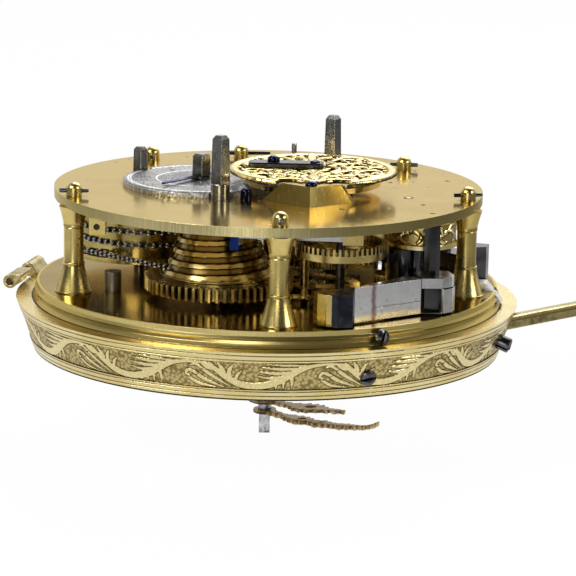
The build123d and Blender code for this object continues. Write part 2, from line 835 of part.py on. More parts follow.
spring_coils = 3
with BuildPart() as balance_spring:
    spring_turn = 360 * spring_coils
    spring_steps = 14 * spring_coils
    inner_edge = [
        polar(1.6 + 4.6 * i / spring_steps, spring_turn * i / spring_steps, balance_at)
        for i in range(spring_steps + 1)
    ]
    outer_edge = [
        polar(1.85 + 4.6 * i / spring_steps, spring_turn * i / spring_steps, balance_at)
        for i in reversed(range(spring_steps + 1))
    ]
    slab(inner_edge + outer_edge, top_face + 0.55, top_face + 1.05)
keep(balance_spring, "balance_spring")

with BuildPart() as spring_stud:
    slab(bar_outline(polar(6.9, 0, balance_at), 0, 1.2, 1.4), top_face, top_face + 1.2)
    tube(balance_at, 1.55, 0.85, top_face + 0.5, top_face + 1.1)
keep(spring_stud, "spring_stud")

# Potence under the top plate for the verge's foot, and its counterpart beyond the contrate's edge
with BuildPart() as potence:
    slab(bar_outline(balance_at, crown_bearing + 180, 5.6, 4.2, back=-1.2), verge_low - 1.2, top_under)
    slab(bar_outline(balance_at, crown_bearing + 180, 5.6, 4.2, back=1.4), verge_low - 1.2, verge_low - 0.1)
    disc(balance_at, 0.35 + pivot_gap, verge_low - 0.6, verge_low, mode=Mode.SUBTRACT)
keep(potence, "potence")

with BuildPart() as counter_potence:
    start = polar(mesh_middle + crown_pinion_half + 0.25, crown_bearing, balance_at)
    slab(bar_outline(start, crown_bearing, 1.6, 2.4), crown_height - 0.9, top_under)
    with BuildSketch(crown_plane(mesh_middle)):
        Circle(0.3 + pivot_gap)
    extrude(amount=5, mode=Mode.SUBTRACT)
keep(counter_potence, "counter_potence")

# Cock: pierced table, faceted foot and steel bar
foot_base = [(-1.0, -14.7), (8.2, -22.0), (16.5, -15.9)]
foot_crown = [(2.4, -17.1), (8.2, -21.2), (14.3, -17.6)]
base_inside = [polar(balance_radius + 1.0, turn, balance_at) for turn in (-55, -90, -125)]
crown_inside = [polar(balance_radius + 1.0, turn, balance_at) for turn in (-67, -90, -115)]
with BuildPart() as cock_foot:
    for level, rim in ((top_face, foot_base + base_inside), (cock_under, foot_crown + crown_inside)):
        with BuildSketch(Plane.XY.offset(level)):
            with BuildLine():
                Polyline(*rim, close=True)
            make_face()
    loft(ruled=True)
keep(cock_foot, "cock_foot")

petals = 10
with BuildPart() as cock_table:
    disc(balance_at, cock_radius, cock_under, cock_under + cock_thick)
    disc(balance_at, 0.35 + pivot_gap, cock_under, cock_under + cock_thick, mode=Mode.SUBTRACT)
    with BuildSketch(Plane((*balance_at, cock_under))):
        with PolarLocations(0, petals, start_angle=90 + 180 / petals):
            with BuildLine():
                ThreePointArc(polar(8.6, -9), polar(12.4, -11), polar(14.2, 9))
                ThreePointArc(polar(14.2, 9), polar(10.4, 9), polar(8.6, -9))
            make_face()
            with BuildLine():
                ThreePointArc(polar(4.6, -15), polar(6.9, -12), polar(7.6, 8))
                ThreePointArc(polar(7.6, 8), polar(5.4, 9), polar(4.6, -15))
            make_face()
    extrude(amount=cock_thick, mode=Mode.SUBTRACT)
keep(cock_table, "cock_table")

bar_low = cock_under + cock_thick
bar_west = (-4.2, -2.5)
with BuildPart() as pivot_bar:
    with BuildSketch(Plane.XY.offset(bar_low)):
        with Locations((bar_west[0] + 7.6, bar_west[1])):
            RectangleRounded(15.1, bar_width, 1.2)
    extrude(amount=bar_thick)
    chamfer(faces().sort_by(Axis.Z)[-1].edges(), 0.25)
keep(pivot_bar, "pivot_bar")

with BuildPart() as cock_screws:
    for spot, radius, low, tall in (
        ((0.9, bar_west[1]), 1.3, bar_low + bar_thick, 0.9),
        ((8.5, -18.9), 1.3, bar_low, 0.9),
        ((-4.3, -15.9), 1.1, top_face, 2.6),
    ):
        disc(spot, radius, low, low + tall)
        chamfer(faces().sort_by(Axis.Z)[-1].edges(), 0.25)
keep(cock_screws, "cock_screws")

# Regulator: silvered disc, blued hand and squat square
with BuildPart() as regulator_disc:
    disc(regulator_at, disc_radius, top_face, top_face + disc_thick)
    disc(regulator_at, 1.3 + pivot_gap, top_face, top_face + disc_thick, mode=Mode.SUBTRACT)
    disc(fusee_at, fusee_collar + free_gap, top_face, top_face + disc_thick, mode=Mode.SUBTRACT)
    disc(barrel_at, square_side / sqrt(2) + free_gap, top_face, top_face + disc_thick, mode=Mode.SUBTRACT)
    chamfer(faces().sort_by(Axis.Z)[-1].edges().filter_by(GeomType.CIRCLE).sort_by(SortBy.RADIUS)[-1], 0.3)
keep(regulator_disc, "regulator_disc")

with BuildPart() as regulator_square:
    disc(regulator_at, 1.3, top_face, top_face + disc_thick + 0.1)
    disc(regulator_at, 1.9, top_face + disc_thick + 0.1, top_face + disc_thick + 0.5)
    squared(regulator_at, square_side - 0.3, top_face + disc_thick + 0.5, top_face + 6.3, turn=12)
    chamfer(faces().sort_by(Axis.Z)[-1].edges(), 0.3)
keep(regulator_square, "regulator_square")

hand_turn = 235
hand_reach = 13.1
with BuildPart() as regulator_hand:
    slab(
        [
            polar(2.2, hand_turn - 90, regulator_at), polar(hand_reach, hand_turn, regulator_at),
            polar(2.2, hand_turn + 90, regulator_at), polar(2.6, hand_turn + 180, regulator_at),
        ],
        top_face + disc_thick + 0.5, top_face + disc_thick + 0.9,
    )
    squared(regulator_at, square_side - 0.3, top_face, top_face + 5, turn=12, mode=Mode.SUBTRACT)
keep(regulator_hand, "regulator_hand")

# Strike barrel with its great wheel and square, and the second wheel
strike_square_top = top_face + 12.4
strike_wheel_low = strike_low - 1.6
with BuildPart() as strike_barrel:
    disc(strike_at, strike_radius, strike_low, strike_high)
    toothing(
        strike_at, strike_teeth, strike_module, wheel_tooth, strike_wheel_low, strike_low,
        bearing(strike_at, second_at),
    )
    disc(strike_at, arbor_radius + 0.6, strike_wheel_low, strike_high, mode=Mode.SUBTRACT)
keep(strike_barrel, "strike_barrel")

with BuildPart() as strike_arbor:
    disc(strike_at, pivot_radius, plate_under, plate_face + 0.1)
    disc(strike_at, arbor_radius + 0.6, plate_face + 0.1, top_under - 0.05)
    disc(strike_at, square_side / sqrt(2), top_under - 0.05, top_face + 0.1)
    squared(strike_at, square_side - 0.2, top_face + 0.1, strike_square_top, turn=10)
    chamfer(faces().sort_by(Axis.Z)[-1].edges(), 0.3)
keep(strike_arbor, "strike_arbor")

second_low = plate_face + 0.4
second_radius = 8.4
with BuildPart() as second_wheel:
    second_wheel_module = 2 * second_radius / second_teeth
    toothing(
        second_at, second_teeth, second_wheel_module, wheel_tooth, second_low, second_low + 0.8, 0,
    )
    crossings(second_at, 4, 2.4, 6.4, 1.3, second_low, second_low + 0.8)
    toothing(
        second_at, second_leaves, strike_module, pinion_leaf, second_low + 0.8, strike_low + 0.2,
        bearing(second_at, strike_at) + 180 / second_leaves,
    )
    disc(second_at, pivot_radius, plate_under, second_low)
    disc(second_at, arbor_radius, strike_low + 0.2, top_under - 0.1)
    disc(second_at, pivot_radius, top_under - 0.1, top_face - 0.1)
keep(second_wheel, "second_wheel")

# Repeat spring barrel, its arbor and pinion, and the pull lever with its toothed sector
sector_low = lever_low + lever_thick
sector_high = sector_low + 2.0
with BuildPart() as repeat_barrel:
    disc(repeat_at, repeat_radius, repeat_high - repeat_tall, repeat_high)
    disc(repeat_at, repeat_radius + 0.35, repeat_high - repeat_tall, repeat_high - repeat_tall + 0.8)
    disc(repeat_at, arbor_radius, repeat_high - repeat_tall, repeat_high, mode=Mode.SUBTRACT)
keep(repeat_barrel, "repeat_barrel")

with BuildPart() as repeat_arbor:
    toothing(
        repeat_at, repeat_leaves, sector_module, pinion_leaf, sector_low + 0.2, sector_high + 0.1,
        bearing(repeat_at, lever_at) + 180 / repeat_leaves,
    )
    disc(repeat_at, arbor_radius, sector_high + 0.1, repeat_high)
    disc(repeat_at, pivot_radius, repeat_high, top_face - 0.1)
keep(repeat_arbor, "repeat_arbor")

lever_reach = 61.0
eye_radius = 2.6
sector_middle = bearing(lever_at, repeat_at)
with BuildPart() as pull_lever:
    with BuildSketch(Plane((*polar(0, 0, lever_at), lever_low))):
        Circle(3.2)
        with Locations(polar(lever_reach, lever_rest)):
            Circle(eye_radius)
    extrude(amount=lever_thick)
    slab(bar_outline(lever_at, lever_rest, lever_reach - 1, lever_width), lever_low, lever_low + lever_thick)
    eye_at = polar(lever_reach, lever_rest, lever_at)
    disc(eye_at, 1.2, lever_low, lever_low + lever_thick, mode=Mode.SUBTRACT)
    fillet(edges().filter_by(Axis.Z, reverse=True).filter_by(GeomType.LINE).group_by(Axis.Z)[-1], 0.9)
    rise, depth, root_share, tip_share = wheel_tooth
    pitch_radius = sector_module * sector_teeth / 2
    with BuildSketch(Plane((*lever_at, sector_low))):
        with BuildLine():
            step = 360 / sector_teeth
            rim = []
            for i in range(-4, 3):
                middle = sector_middle + i * step
                rim += [
                    polar(pitch_radius - depth * sector_module, middle - root_share * step / 2),
                    polar(pitch_radius + rise * sector_module, middle - tip_share * step / 2),
                    polar(pitch_radius + rise * sector_module, middle + tip_share * step / 2),
                    polar(pitch_radius - depth * sector_module, middle + root_share * step / 2),
                ]
            Polyline(*rim, polar(3.2, sector_middle + 60), polar(3.2, sector_middle - 80), close=True)
        make_face()
        Circle(3.2)
    extrude(amount=sector_high - sector_low)
    disc(lever_at, 1.2 + pivot_gap, lever_low, sector_high, mode=Mode.SUBTRACT)
keep(pull_lever, "pull_lever")

with BuildPart() as lever_stud:
    disc(lever_at, 1.2, lever_low - 0.2, plate_under)
    disc(lever_at, 2.0, lever_low - 0.9, lever_low - 0.2)
keep(lever_stud, "lever_stud")

# Hammers: hub on an upright arbor, long head, and a brass tail on the front one
hammer_low = plate_face + 0.4
hammer_high = plate_face + 7.3
head_near = (29.9, -30.2)
head_bend = (16.9, -39.6)
head_far = (13.0, -43.4)
tail_end = (9.2, -39.6)
head_depth = 4.0
head_bearing = bearing(head_near, head_bend)
near_in = polar(head_depth, head_bearing - 90, head_near)
bend_in = polar(head_depth, head_bearing - 90, head_bend)
arbor_flats = 1.6
with BuildPart() as hammer:
    slab([head_near, head_bend, head_far, bend_in, near_in], hammer_low, hammer_high)
    slab(
        [head_near, (34.6, -29.4), (36.4, -26.4), (35.4, -22.8), (31.4, -21.6), (28.6, -24.6), near_in],
        hammer_low, hammer_high - 0.2,
    )
    with BuildSketch(Plane((*hammer_at, hammer_high - 0.2))):
        RegularPolygon(arbor_flats, 8, rotation=22.5)
    extrude(amount=top_under - 0.1 - (hammer_high - 0.2))
    disc(hammer_at, pivot_radius, plate_under, hammer_low)
    disc(hammer_at, pivot_radius, top_under - 0.1, top_face - 0.1)
keep(hammer, "hammer")

with BuildPart() as hammer_tail:
    slab([head_far, tail_end, (11.2, -37.0), bend_in], hammer_low, hammer_high - 0.6)
keep(hammer_tail, "hammer_tail")

with BuildPart() as far_hammer:
    slab([(40.2, 0.4), (44.3, 1.6), (45.0, 4.6), (40.6, 6.0)], hammer_low, hammer_high)
    slab([(41.2, 2.6), (41.4, 5.7), (38.6, 11.6), (34.6, 11.4), (34.9, 8.2)], hammer_low, hammer_high - 2.4)
    disc(far_hammer_at, 1.2, hammer_high - 2.4, top_under - 0.1)
    disc(far_hammer_at, pivot_radius, plate_under, hammer_low)
    disc(far_hammer_at, pivot_radius, top_under - 0.1, top_face - 0.1)
keep(far_hammer, "far_hammer")

# Steel post under the repeat barrel, with the bright springs that press on the hammers
post_at = (26.9, -19.6)
post_top = repeat_high - repeat_tall - 0.15
with BuildPart() as spring_post:
    disc(post_at, 3.2, plate_face, post_top)
keep(spring_post, "spring_post")

with BuildPart() as hammer_spring:
    with BuildSketch(Plane.XY.offset(plate_face + 8.0)):
        with BuildLine():
            start = polar(3.3, 160, post_at)
            ThreePointArc(start, (20.6, -21.9), (21.6, -26.6))
            Line((21.6, -26.6), (22.3, -26.2))
            ThreePointArc((22.3, -26.2), (21.4, -22.0), polar(3.3, 175, post_at))
            Line(polar(3.3, 175, post_at), start)
        make_face()
    extrude(amount=1.8)
keep(hammer_spring, "hammer_spring")

# Bridge beside the contrate wheel's arbor
with BuildPart() as train_bridge:
    slab([(18.4, -20.4), (21.0, -20.4), (21.0, -17.2), (18.4, -17.2)], plate_face, plate_face + 7.0)
    slab([(16.0, -20.4), (21.0, -20.4), (21.0, -17.2), (16.0, -17.2)], plate_face + 5.6, plate_face + 7.0)
keep(train_bridge, "train_bridge")

# Fusee stop iron on a cross pin in its block under the top plate
iron_low = top_under - 3.4
iron_high = top_under - 1.3
iron_pivot = (15.7, -28.6, (iron_low + iron_high) / 2)
iron_pin = 0.4
with BuildPart() as stop_block:
    slab([(14.6, -30.4), (18.6, -30.4), (18.6, -26.6), (14.6, -26.6)], iron_low - 0.3, top_under)
    slab(
        [(14.5, -29.5), (17.4, -29.5), (17.4, -27.5), (14.5, -27.5)], iron_low - 0.3, iron_high + 0.9,
        mode=Mode.SUBTRACT,
    )
    with BuildSketch(Plane(iron_pivot, x_dir=(1, 0, 0), z_dir=(0, -1, 0))):
        Circle(iron_pin)
    extrude(amount=1.2, both=True)
keep(stop_block, "stop_block")

with BuildPart() as stop_iron:
    slab([(16.8, -29.0), (16.8, -28.2), (-4.6, -25.4), (-5.4, -26.8)], iron_low, iron_high)
    slab([(-5.4, -26.8), (-4.6, -25.4), (-6.6, -25.0), (-7.0, -26.4)], iron_low - 1.4, iron_high)
    with BuildSketch(Plane(iron_pivot, x_dir=(1, 0, 0), z_dir=(0, -1, 0))):
        Circle(iron_pin + pivot_gap)
    extrude(amount=3, both=True, mode=Mode.SUBTRACT)
keep(stop_iron, "stop_iron")

# Small block with a cross hole under the top plate, and a short post on the pillar plate
with BuildPart() as worm_block:
    slab([(-34.4, -25.6), (-31.2, -25.6), (-31.2, -22.0), (-34.4, -22.0)], top_under - 3.6, top_under)
    with BuildSketch(Plane((-32.9, -20, top_under - 2.0), x_dir=(1, 0, 0), z_dir=(0, -1, 0))):
        Circle(0.45)
    extrude(amount=10, mode=Mode.SUBTRACT)
keep(worm_block, "worm_block")

with BuildPart() as click_post:
    disc((-30.4, -13.2), 1.7, plate_face, plate_face + 3.95)
keep(click_post, "click_post")

# Latch bolt with a bevelled nose
latch_along = (cos(radians(latch_bearing)), sin(radians(latch_bearing)), 0)
latch_side = (sin(radians(latch_bearing)), -cos(radians(latch_bearing)), 0)
nose_in = notch_in + free_gap + latch_travel
nose_low = ring_top + 0.8
with BuildPart() as latch_bolt:
    with BuildSketch(Plane((0, 0, 0), x_dir=latch_along, z_dir=latch_side)):
        with BuildLine():
            Polyline(
                (latch_in, latch_low),
                (nose_in, latch_low),
                (nose_in, nose_low),
                (latch_out, nose_low),
                (latch_out, nose_low + 0.3),
                (latch_out - latch_nose, latch_low + latch_thick),
                (latch_in, latch_low + latch_thick),
                close=True,
            )
        make_face()
    extrude(amount=latch_width / 2, both=True)
keep(latch_bolt, "latch_bolt")

# Hinge knuckles brazed on the ring's top edge
hinge_bearing = 168.0
hinge_radius = 1.4
hinge_bore = 0.8
knuckle_length = 7.5
knuckle_gap = 5.0
hinge_reach = ring_radius + 0.6
hinge_height = ring_top + hinge_radius + 0.1
hinge_along = (-sin(radians(hinge_bearing)), cos(radians(hinge_bearing)), 0)
hinge_out = (cos(radians(hinge_bearing)), sin(radians(hinge_bearing)), 0)
with BuildPart() as hinge_knuckles:
    for side in (-1, 1):
        near = side * knuckle_gap / 2
        middle = polar(hinge_reach, hinge_bearing)
        start = (middle[0] + near * hinge_along[0], middle[1] + near * hinge_along[1], hinge_height)
        across = Plane(start, x_dir=hinge_out, z_dir=[side * part for part in hinge_along])
        with BuildSketch(across):
            Circle(hinge_radius)
            Polygon(
                (-2.4, -hinge_radius - 0.1), (-2.4, -hinge_radius + 0.5), (-0.9, 0.9), (0, 0),
                (0, -hinge_radius - 0.1), align=None,
            )
            Circle(hinge_bore, mode=Mode.SUBTRACT)
        extrude(amount=knuckle_length)
keep(hinge_knuckles, "hinge_knuckles")

# Slotted steel screws in the ring and in the moulded edge
wall_tilt = degrees(atan2(ring_radius - ring_low_radius, ring_height))
screw_spots = [
    (-18.0, ring_low + 4.6, ring_wall(ring_low + 4.6) - frieze_sink, wall_tilt, 1.5, 2.6),
    (-66.0, ring_low + 4.0, ring_wall(ring_low + 4.0) - frieze_sink, wall_tilt, 1.6, 0.9),
    (-62.0, ring_top + 1.6, cove_radius - 0.05, 0, 1.4, 0.9),
]
with BuildPart() as edge_screws:
    for turn, height, reach, tilt, radius, tall in screw_spots:
        flat = cos(radians(tilt))
        outward = (flat * cos(radians(turn)), flat * sin(radians(turn)), -sin(radians(tilt)))
        with BuildSketch(Plane((*polar(reach, turn), height), z_dir=outward).offset(seat_gap)):
            Circle(radius)
        extrude(amount=tall)
keep(edge_screws, "edge_screws")
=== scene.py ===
import json
from math import asin, atan2, cos, degrees, hypot, pi, radians, sin, sqrt, tau

import bpy
import numpy as np
from mathutils import Matrix, Vector


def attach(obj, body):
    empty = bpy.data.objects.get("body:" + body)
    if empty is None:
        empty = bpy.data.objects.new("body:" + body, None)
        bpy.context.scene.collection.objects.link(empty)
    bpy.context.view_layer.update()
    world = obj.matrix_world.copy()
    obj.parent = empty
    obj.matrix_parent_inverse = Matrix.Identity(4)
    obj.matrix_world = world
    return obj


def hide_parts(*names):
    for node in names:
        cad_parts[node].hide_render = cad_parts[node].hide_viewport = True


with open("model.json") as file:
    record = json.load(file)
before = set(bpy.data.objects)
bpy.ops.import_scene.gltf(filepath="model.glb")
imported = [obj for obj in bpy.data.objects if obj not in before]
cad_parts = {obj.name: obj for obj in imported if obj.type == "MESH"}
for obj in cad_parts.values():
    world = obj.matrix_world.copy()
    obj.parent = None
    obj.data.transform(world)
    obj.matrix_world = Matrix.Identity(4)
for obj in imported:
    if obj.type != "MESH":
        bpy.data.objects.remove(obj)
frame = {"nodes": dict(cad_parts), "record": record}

scene = bpy.context.scene
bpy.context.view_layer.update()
nodes = frame["nodes"]
MM = 0.001

# Levels and axes of the movement, in millimetres
ring_low, ring_top = 18.9, 28.6
plate_under, plate_face = 29.4, 31.8
top_under, top_face = 49.0, 50.9
disc_face = top_face + 1.2
ring_radius, ring_low_radius = 50.6, 47.25
frieze_low, frieze_high, frieze_sink = 20.8, 26.6, 0.35
top_radius, plate_radius = 43.0, 46.4
pillar_spots = [(-38.1, -14.5), (2.6, -40.5), (39.5, -10.8), (-24.8, 28.4), (-6.2, 32.5), (27.9, 22.4)]
pin_bearings = [0, 90, 10, 90, 80, 175]
fusee_at, barrel_at, strike_at = (-9.4, -14.6), (-26.4, 10.9), (12.9, 15.3)
balance_at, regulator_at, foot_at = (8.8, -3.3), (-13.6, 1.2), (9.0, -18.5)
repeat_at, lever_at, hammer_at = (30.4, -16.5), (27.6, -26.6), (31.9, -25.0)
cock_low, cock_high, cock_radius = 54.6, 55.5, 16.9
dome_radius = 150.0
fusee_low, fusee_high, fusee_turns = 36.45, 47.0, 5
fusee_top_radius, fusee_spread, groove_depth = 7.1, 4.0, 0.68
near_axis = 0.001


# Camera at the photograph's viewing angle
def set_camera():
    target, distance = np.array((4.2837, 0.0, 30.093)) * MM, 613.29 * MM
    elevation, roll = radians(12.383), radians(1.1606)
    sensor, focal_pixels, picture_pixels = 36, 3028.2, 576
    ahead = np.array((0, cos(elevation), -sin(elevation)))
    right = np.cross(ahead, (0, 0, 1))
    right = right / np.linalg.norm(right)
    up = np.cross(right, ahead)
    side = cos(roll) * right + sin(roll) * up
    top = -sin(roll) * right + cos(roll) * up
    place = target - distance * ahead
    data = bpy.data.cameras.new("camera")
    data.sensor_width = sensor
    data.lens = focal_pixels * sensor / picture_pixels
    data.clip_start, data.clip_end = 0.05, 10
    camera = bpy.data.objects.new("camera", data)
    scene.collection.objects.link(camera)
    camera.matrix_world = Matrix([(*row, 0) for row in (side, top, -ahead)] + [(*place, 1)]).transposed()
    scene.camera = camera


set_camera()
scene.view_settings.view_transform = "Standard"


# Node helpers
class Nodes:
    """Short calls for the nodes of one tree."""

    def __init__(self, tree):
        self.tree = tree
        tree.nodes.clear()

    def put(self, socket, value):
        if hasattr(value, "is_output"):
            self.tree.links.new(value, socket)
        elif value is not None:
            socket.default_value = value

    def node(self, kind, *values, **named):
        item = self.tree.nodes.new(kind)
        for socket, value in zip(item.inputs, values):
            self.put(socket, value)
        for name, value in named.items():
            self.put(item.inputs[name], value)
        return item

    def math(self, kind, a, b=0.0, c=0.0):
        item = self.node("ShaderNodeMath", a, b, c)
        item.operation = kind
        return item.outputs[0]

    def times(self, a, b):
        return self.math("MULTIPLY", a, b)

    def line_of(self, value, slope, start):
        return self.math("MULTIPLY_ADD", value, slope, start)

    def away(self, value, level):
        """How far a value is from a level."""
        return self.math("ABSOLUTE", self.math("SUBTRACT", value, level))

    def ramp(self, value, low, high, start=0.0, end=1.0):
        item = self.node("ShaderNodeMapRange", value, low, high, start, end)
        item.interpolation_type = "SMOOTHSTEP"
        return item.outputs[0]

    def lines(self, value, levels, core, reach):
        """1 on the thin lines where a value meets one of the levels."""
        found = None
        for level in levels:
            line = self.ramp(self.away(value, level * MM), core * MM, reach * MM, 1.0, 0.0)
            found = line if found is None else self.math("MAXIMUM", found, line)
        return found

    def blend(self, share, a, b):
        item = self.tree.nodes.new("ShaderNodeMix")
        item.data_type = "RGBA"
        self.put(item.inputs[0], share)
        for socket, value in ((item.inputs[6], a), (item.inputs[7], b)):
            self.put(socket, (*value, 1.0) if isinstance(value, tuple) else value)
        return item.outputs[2]


class Shade(Nodes):
    """A material under construction, in object coordinates."""

    def __init__(self, name):
        self.material = bpy.data.materials.new(name)
        self.material.use_nodes = True
        super().__init__(self.material.node_tree)
        self.out = self.node("ShaderNodeOutputMaterial")
        self.bsdf = self.node("ShaderNodeBsdfPrincipled")
        self.put(self.out.inputs[0], self.bsdf.outputs[0])
        self.coords = self.node("ShaderNodeTexCoord").outputs["Object"]
        self.x, self.y, self.z = self.node("ShaderNodeSeparateXYZ", self.coords).outputs

    def scaled(self, size, turn=0.0, shift=(0, 0, 0)):
        size = size if isinstance(size, tuple) else (size,) * 3
        return self.node("ShaderNodeMapping", self.coords, shift, (0, 0, radians(turn)), size).outputs[0]

    def noise(self, size, detail=3.0, rough=0.55, distort=0.0, **placed):
        return self.node("ShaderNodeTexNoise", Vector=self.scaled(size, **placed), Scale=1.0, Detail=detail,
                         Roughness=rough, Distortion=distort).outputs[0]

    def cells(self, size):
        return self.node("ShaderNodeTexVoronoi", Vector=self.scaled(size), Scale=1.0).outputs["Distance"]

    def bump(self, height, depth, strength=1.0, under=None):
        return self.node("ShaderNodeBump", Height=height, Distance=depth * MM, Strength=strength,
                         Normal=under).outputs[0]

    def rounded(self, radius):
        item = self.node("ShaderNodeBevel", Radius=radius * MM)
        item.samples = 4
        return item.outputs[0]

    def soiled(self, base, reach, share, tone):
        """A base colour darkened in tight corners by ambient occlusion: painted shade."""
        item = self.node("ShaderNodeAmbientOcclusion", Distance=reach * MM)
        item.samples = 6
        corner = self.ramp(item.outputs["AO"], 0.25, 0.85, 1.0, 0.0)
        return self.blend(self.times(corner, share), base, tone)

    def relief(self):
        """The stored value of each point, which sets its painted highlight and shade."""
        item = self.node("ShaderNodeAttribute")
        item.attribute_name = "relief"
        return item.outputs["Fac"]

    def axis_distance(self, at=(0, 0)):
        x, y = (self.math("SUBTRACT", value, place * MM)
                for value, place in ((self.x, at[0]), (self.y, at[1])))
        return self.math("SQRT", self.math("ADD", self.times(x, x), self.times(y, y)))

    def finish(self, color, rough, normal=None, more=()):
        values = {"Base Color": color, "Roughness": rough, "Normal": normal, "Metallic": 1.0, **dict(more)}
        for name, value in values.items():
            self.put(self.bsdf.inputs[name], value)
        return self.material


def darker(share, tone):
    return tuple(share * c for c in tone)


def metal(name, color, worn, rough, rough_worn, grain, grain_depth, patches, edge, speck, corner_shade=0.75,
          reach=1.6):
    """A worked metal: two tones in patches, tool marks, dark specks, painted shade in corners and softened
    edges.
    """
    s = Shade(name)
    marks = s.noise(grain, 3, 0.6)
    tone = s.ramp(s.noise(patches, 5, 0.62, 0.4), 0.35, 0.72)
    base = s.blend(tone, color, worn)
    base = s.blend(s.ramp(s.noise(2600, 2, 0.5), 0.64, 0.74, 0.0, speck), base, darker(0.32, worn))
    # Painted shade in tight corners
    if corner_shade:
        base = s.soiled(base, reach, corner_shade, darker(0.14, worn))
    rougher = s.line_of(marks, 0.06, s.line_of(tone, rough_worn - rough, rough))
    return s.finish(base, rougher, s.bump(marks, grain_depth, 1.0, s.rounded(edge)))


# Metals: colour, worn colour, both roughnesses, grain and its depth, patches, soft edge, specks, painted
# corner shade
metals = {
    "turned brass": ((0.72, 0.57, 0.21), (0.58, 0.44, 0.13), 0.20, 0.28, (60, 60, 2600), 0.003, 160, 0.08,
                     0.2),
    "wheel brass": ((0.74, 0.58, 0.22), (0.46, 0.32, 0.10), 0.18, 0.30, 700, 0.004, 200, 0.09, 0.5, 0.95,
                    1.3),
    "barrel brass": ((0.56, 0.45, 0.17), (0.36, 0.27, 0.08), 0.12, 0.2, (60, 60, 2200), 0.004, 90, 0.1,
                     0.3),
    "lever brass": ((0.60, 0.50, 0.22), (0.24, 0.18, 0.06), 0.16, 0.3, (500, 500, 900), 0.006, 420, 0.35,
                    0.5),
    "gilt brass": ((0.82, 0.68, 0.31), (0.70, 0.54, 0.19), 0.22, 0.32, (500, 500, 1500), 0.004, 120, 0.10,
                   0.25),
    "worn steel": ((0.30, 0.275, 0.23), (0.20, 0.175, 0.13), 0.30, 0.42, (500, 500, 900), 0.004, 300,
                   0.10, 0.4),
    "pale steel": ((0.90, 0.90, 0.90), (0.80, 0.80, 0.79), 0.30, 0.4, 500, 0.003, 300, 0.08, 0.1),
    "pitted steel": ((0.70, 0.70, 0.70), (0.16, 0.155, 0.15), 0.22, 0.4, 900, 0.02, 700, 0.3, 0.7),
    "grey steel": ((0.50, 0.497, 0.49), (0.20, 0.197, 0.19), 0.14, 0.30, (900, 900, 260), 0.006, 620,
                   0.04, 0.7),
    "dark steel": ((0.15, 0.15, 0.155), (0.07, 0.068, 0.066), 0.16, 0.30, (400, 400, 1600), 0.004, 260,
                   0.04,
                   0.4),
    "glossy dark steel": ((0.10, 0.10, 0.105), (0.06, 0.06, 0.062), 0.07, 0.13, (60, 60, 1800), 0.002,
                          160, 0.10,
                          0.2),
    "bright steel": ((0.66, 0.66, 0.665), (0.50, 0.495, 0.48), 0.10, 0.22, (300, 300, 900), 0.003, 200,
                     0.10,
                     0.25),
    "ground steel": ((0.70, 0.70, 0.70), (0.46, 0.455, 0.44), 0.14, 0.28, (260, 260, 2400), 0.005, 300,
                     0.12,
                     0.45),
    "blue-black steel": ((0.022, 0.025, 0.034), (0.06, 0.064, 0.078), 0.16, 0.3, (300, 300, 2200), 0.006,
                         260,
                         0.10, 0.35),
    "blued steel": ((0.014, 0.018, 0.07), (0.02, 0.02, 0.035), 0.10, 0.2, (300, 300, 900), 0.002, 300,
                    0.02, 0.1,
                    0.0),
    "blue temper": ((0.02, 0.045, 0.24), (0.008, 0.012, 0.05), 0.14, 0.24, (300, 300, 900), 0.003, 300,
                    0.08, 0.1,
                    0.0),
    "pin hole": ((0.05, 0.04, 0.025), (0.02, 0.016, 0.01), 0.4, 0.6, 900, 0.003, 300, 0.05, 0.2),
}
finish_of = {name: metal(name, *values) for name, values in metals.items()}


def plate_material(name, face_a, face_b, edge_a, edge_b, rough, limit):
    """A lapped plate: faces in one tone, and a turned edge with upright tool marks in another, with a painted
    highlight on the edge and painted shade in tight corners.
    """
    s = Shade(name)
    painted_highlight_at, sides_from, sides_to = -0.010, 0.008, 0.034
    patch = s.noise(60, 5, 0.62, 0.4)
    cloud = s.noise(22, 4, 0.6, 0.5, shift=(0.3, 0.1, 0))
    strokes = s.noise((9000, 9000, 90), 2, 0.6)
    # Painted highlight: the edge is lighter near x = -10 mm and darker towards the sides
    sides = s.ramp(s.away(s.x, painted_highlight_at), sides_from, sides_to)
    face = s.blend(s.ramp(patch, 0.35, 0.7), face_a, face_b)
    face = s.blend(s.ramp(cloud, 0.42, 0.72, 0.0, 0.45), face, darker(0.62, face_b))
    side = s.blend(s.ramp(strokes, 0.2, 0.8, 0.0, 0.5), edge_a, edge_b)
    side = s.blend(s.times(sides, 0.75), side, edge_b)
    rim = s.ramp(s.axis_distance(), limit * MM, (limit + 0.1) * MM)
    base = s.blend(rim, face, side)
    base = s.blend(s.ramp(s.noise(1900, 2, 0.5), 0.70, 0.78, 0.0, 0.35), base, (0.06, 0.045, 0.02))
    # Painted shade in tight corners
    base = s.soiled(base, 1.4, 0.7, (0.09, 0.06, 0.02))
    rougher = s.line_of(rim, 0.12, s.line_of(patch, 0.06, rough))
    bumped = s.bump(s.noise(240, 3, 0.6), 0.0012, 1.0, s.rounded(0.10))
    return s.finish(base, rougher, bumped, {"Specular Tint": (0.98, 0.90, 0.69, 1)})


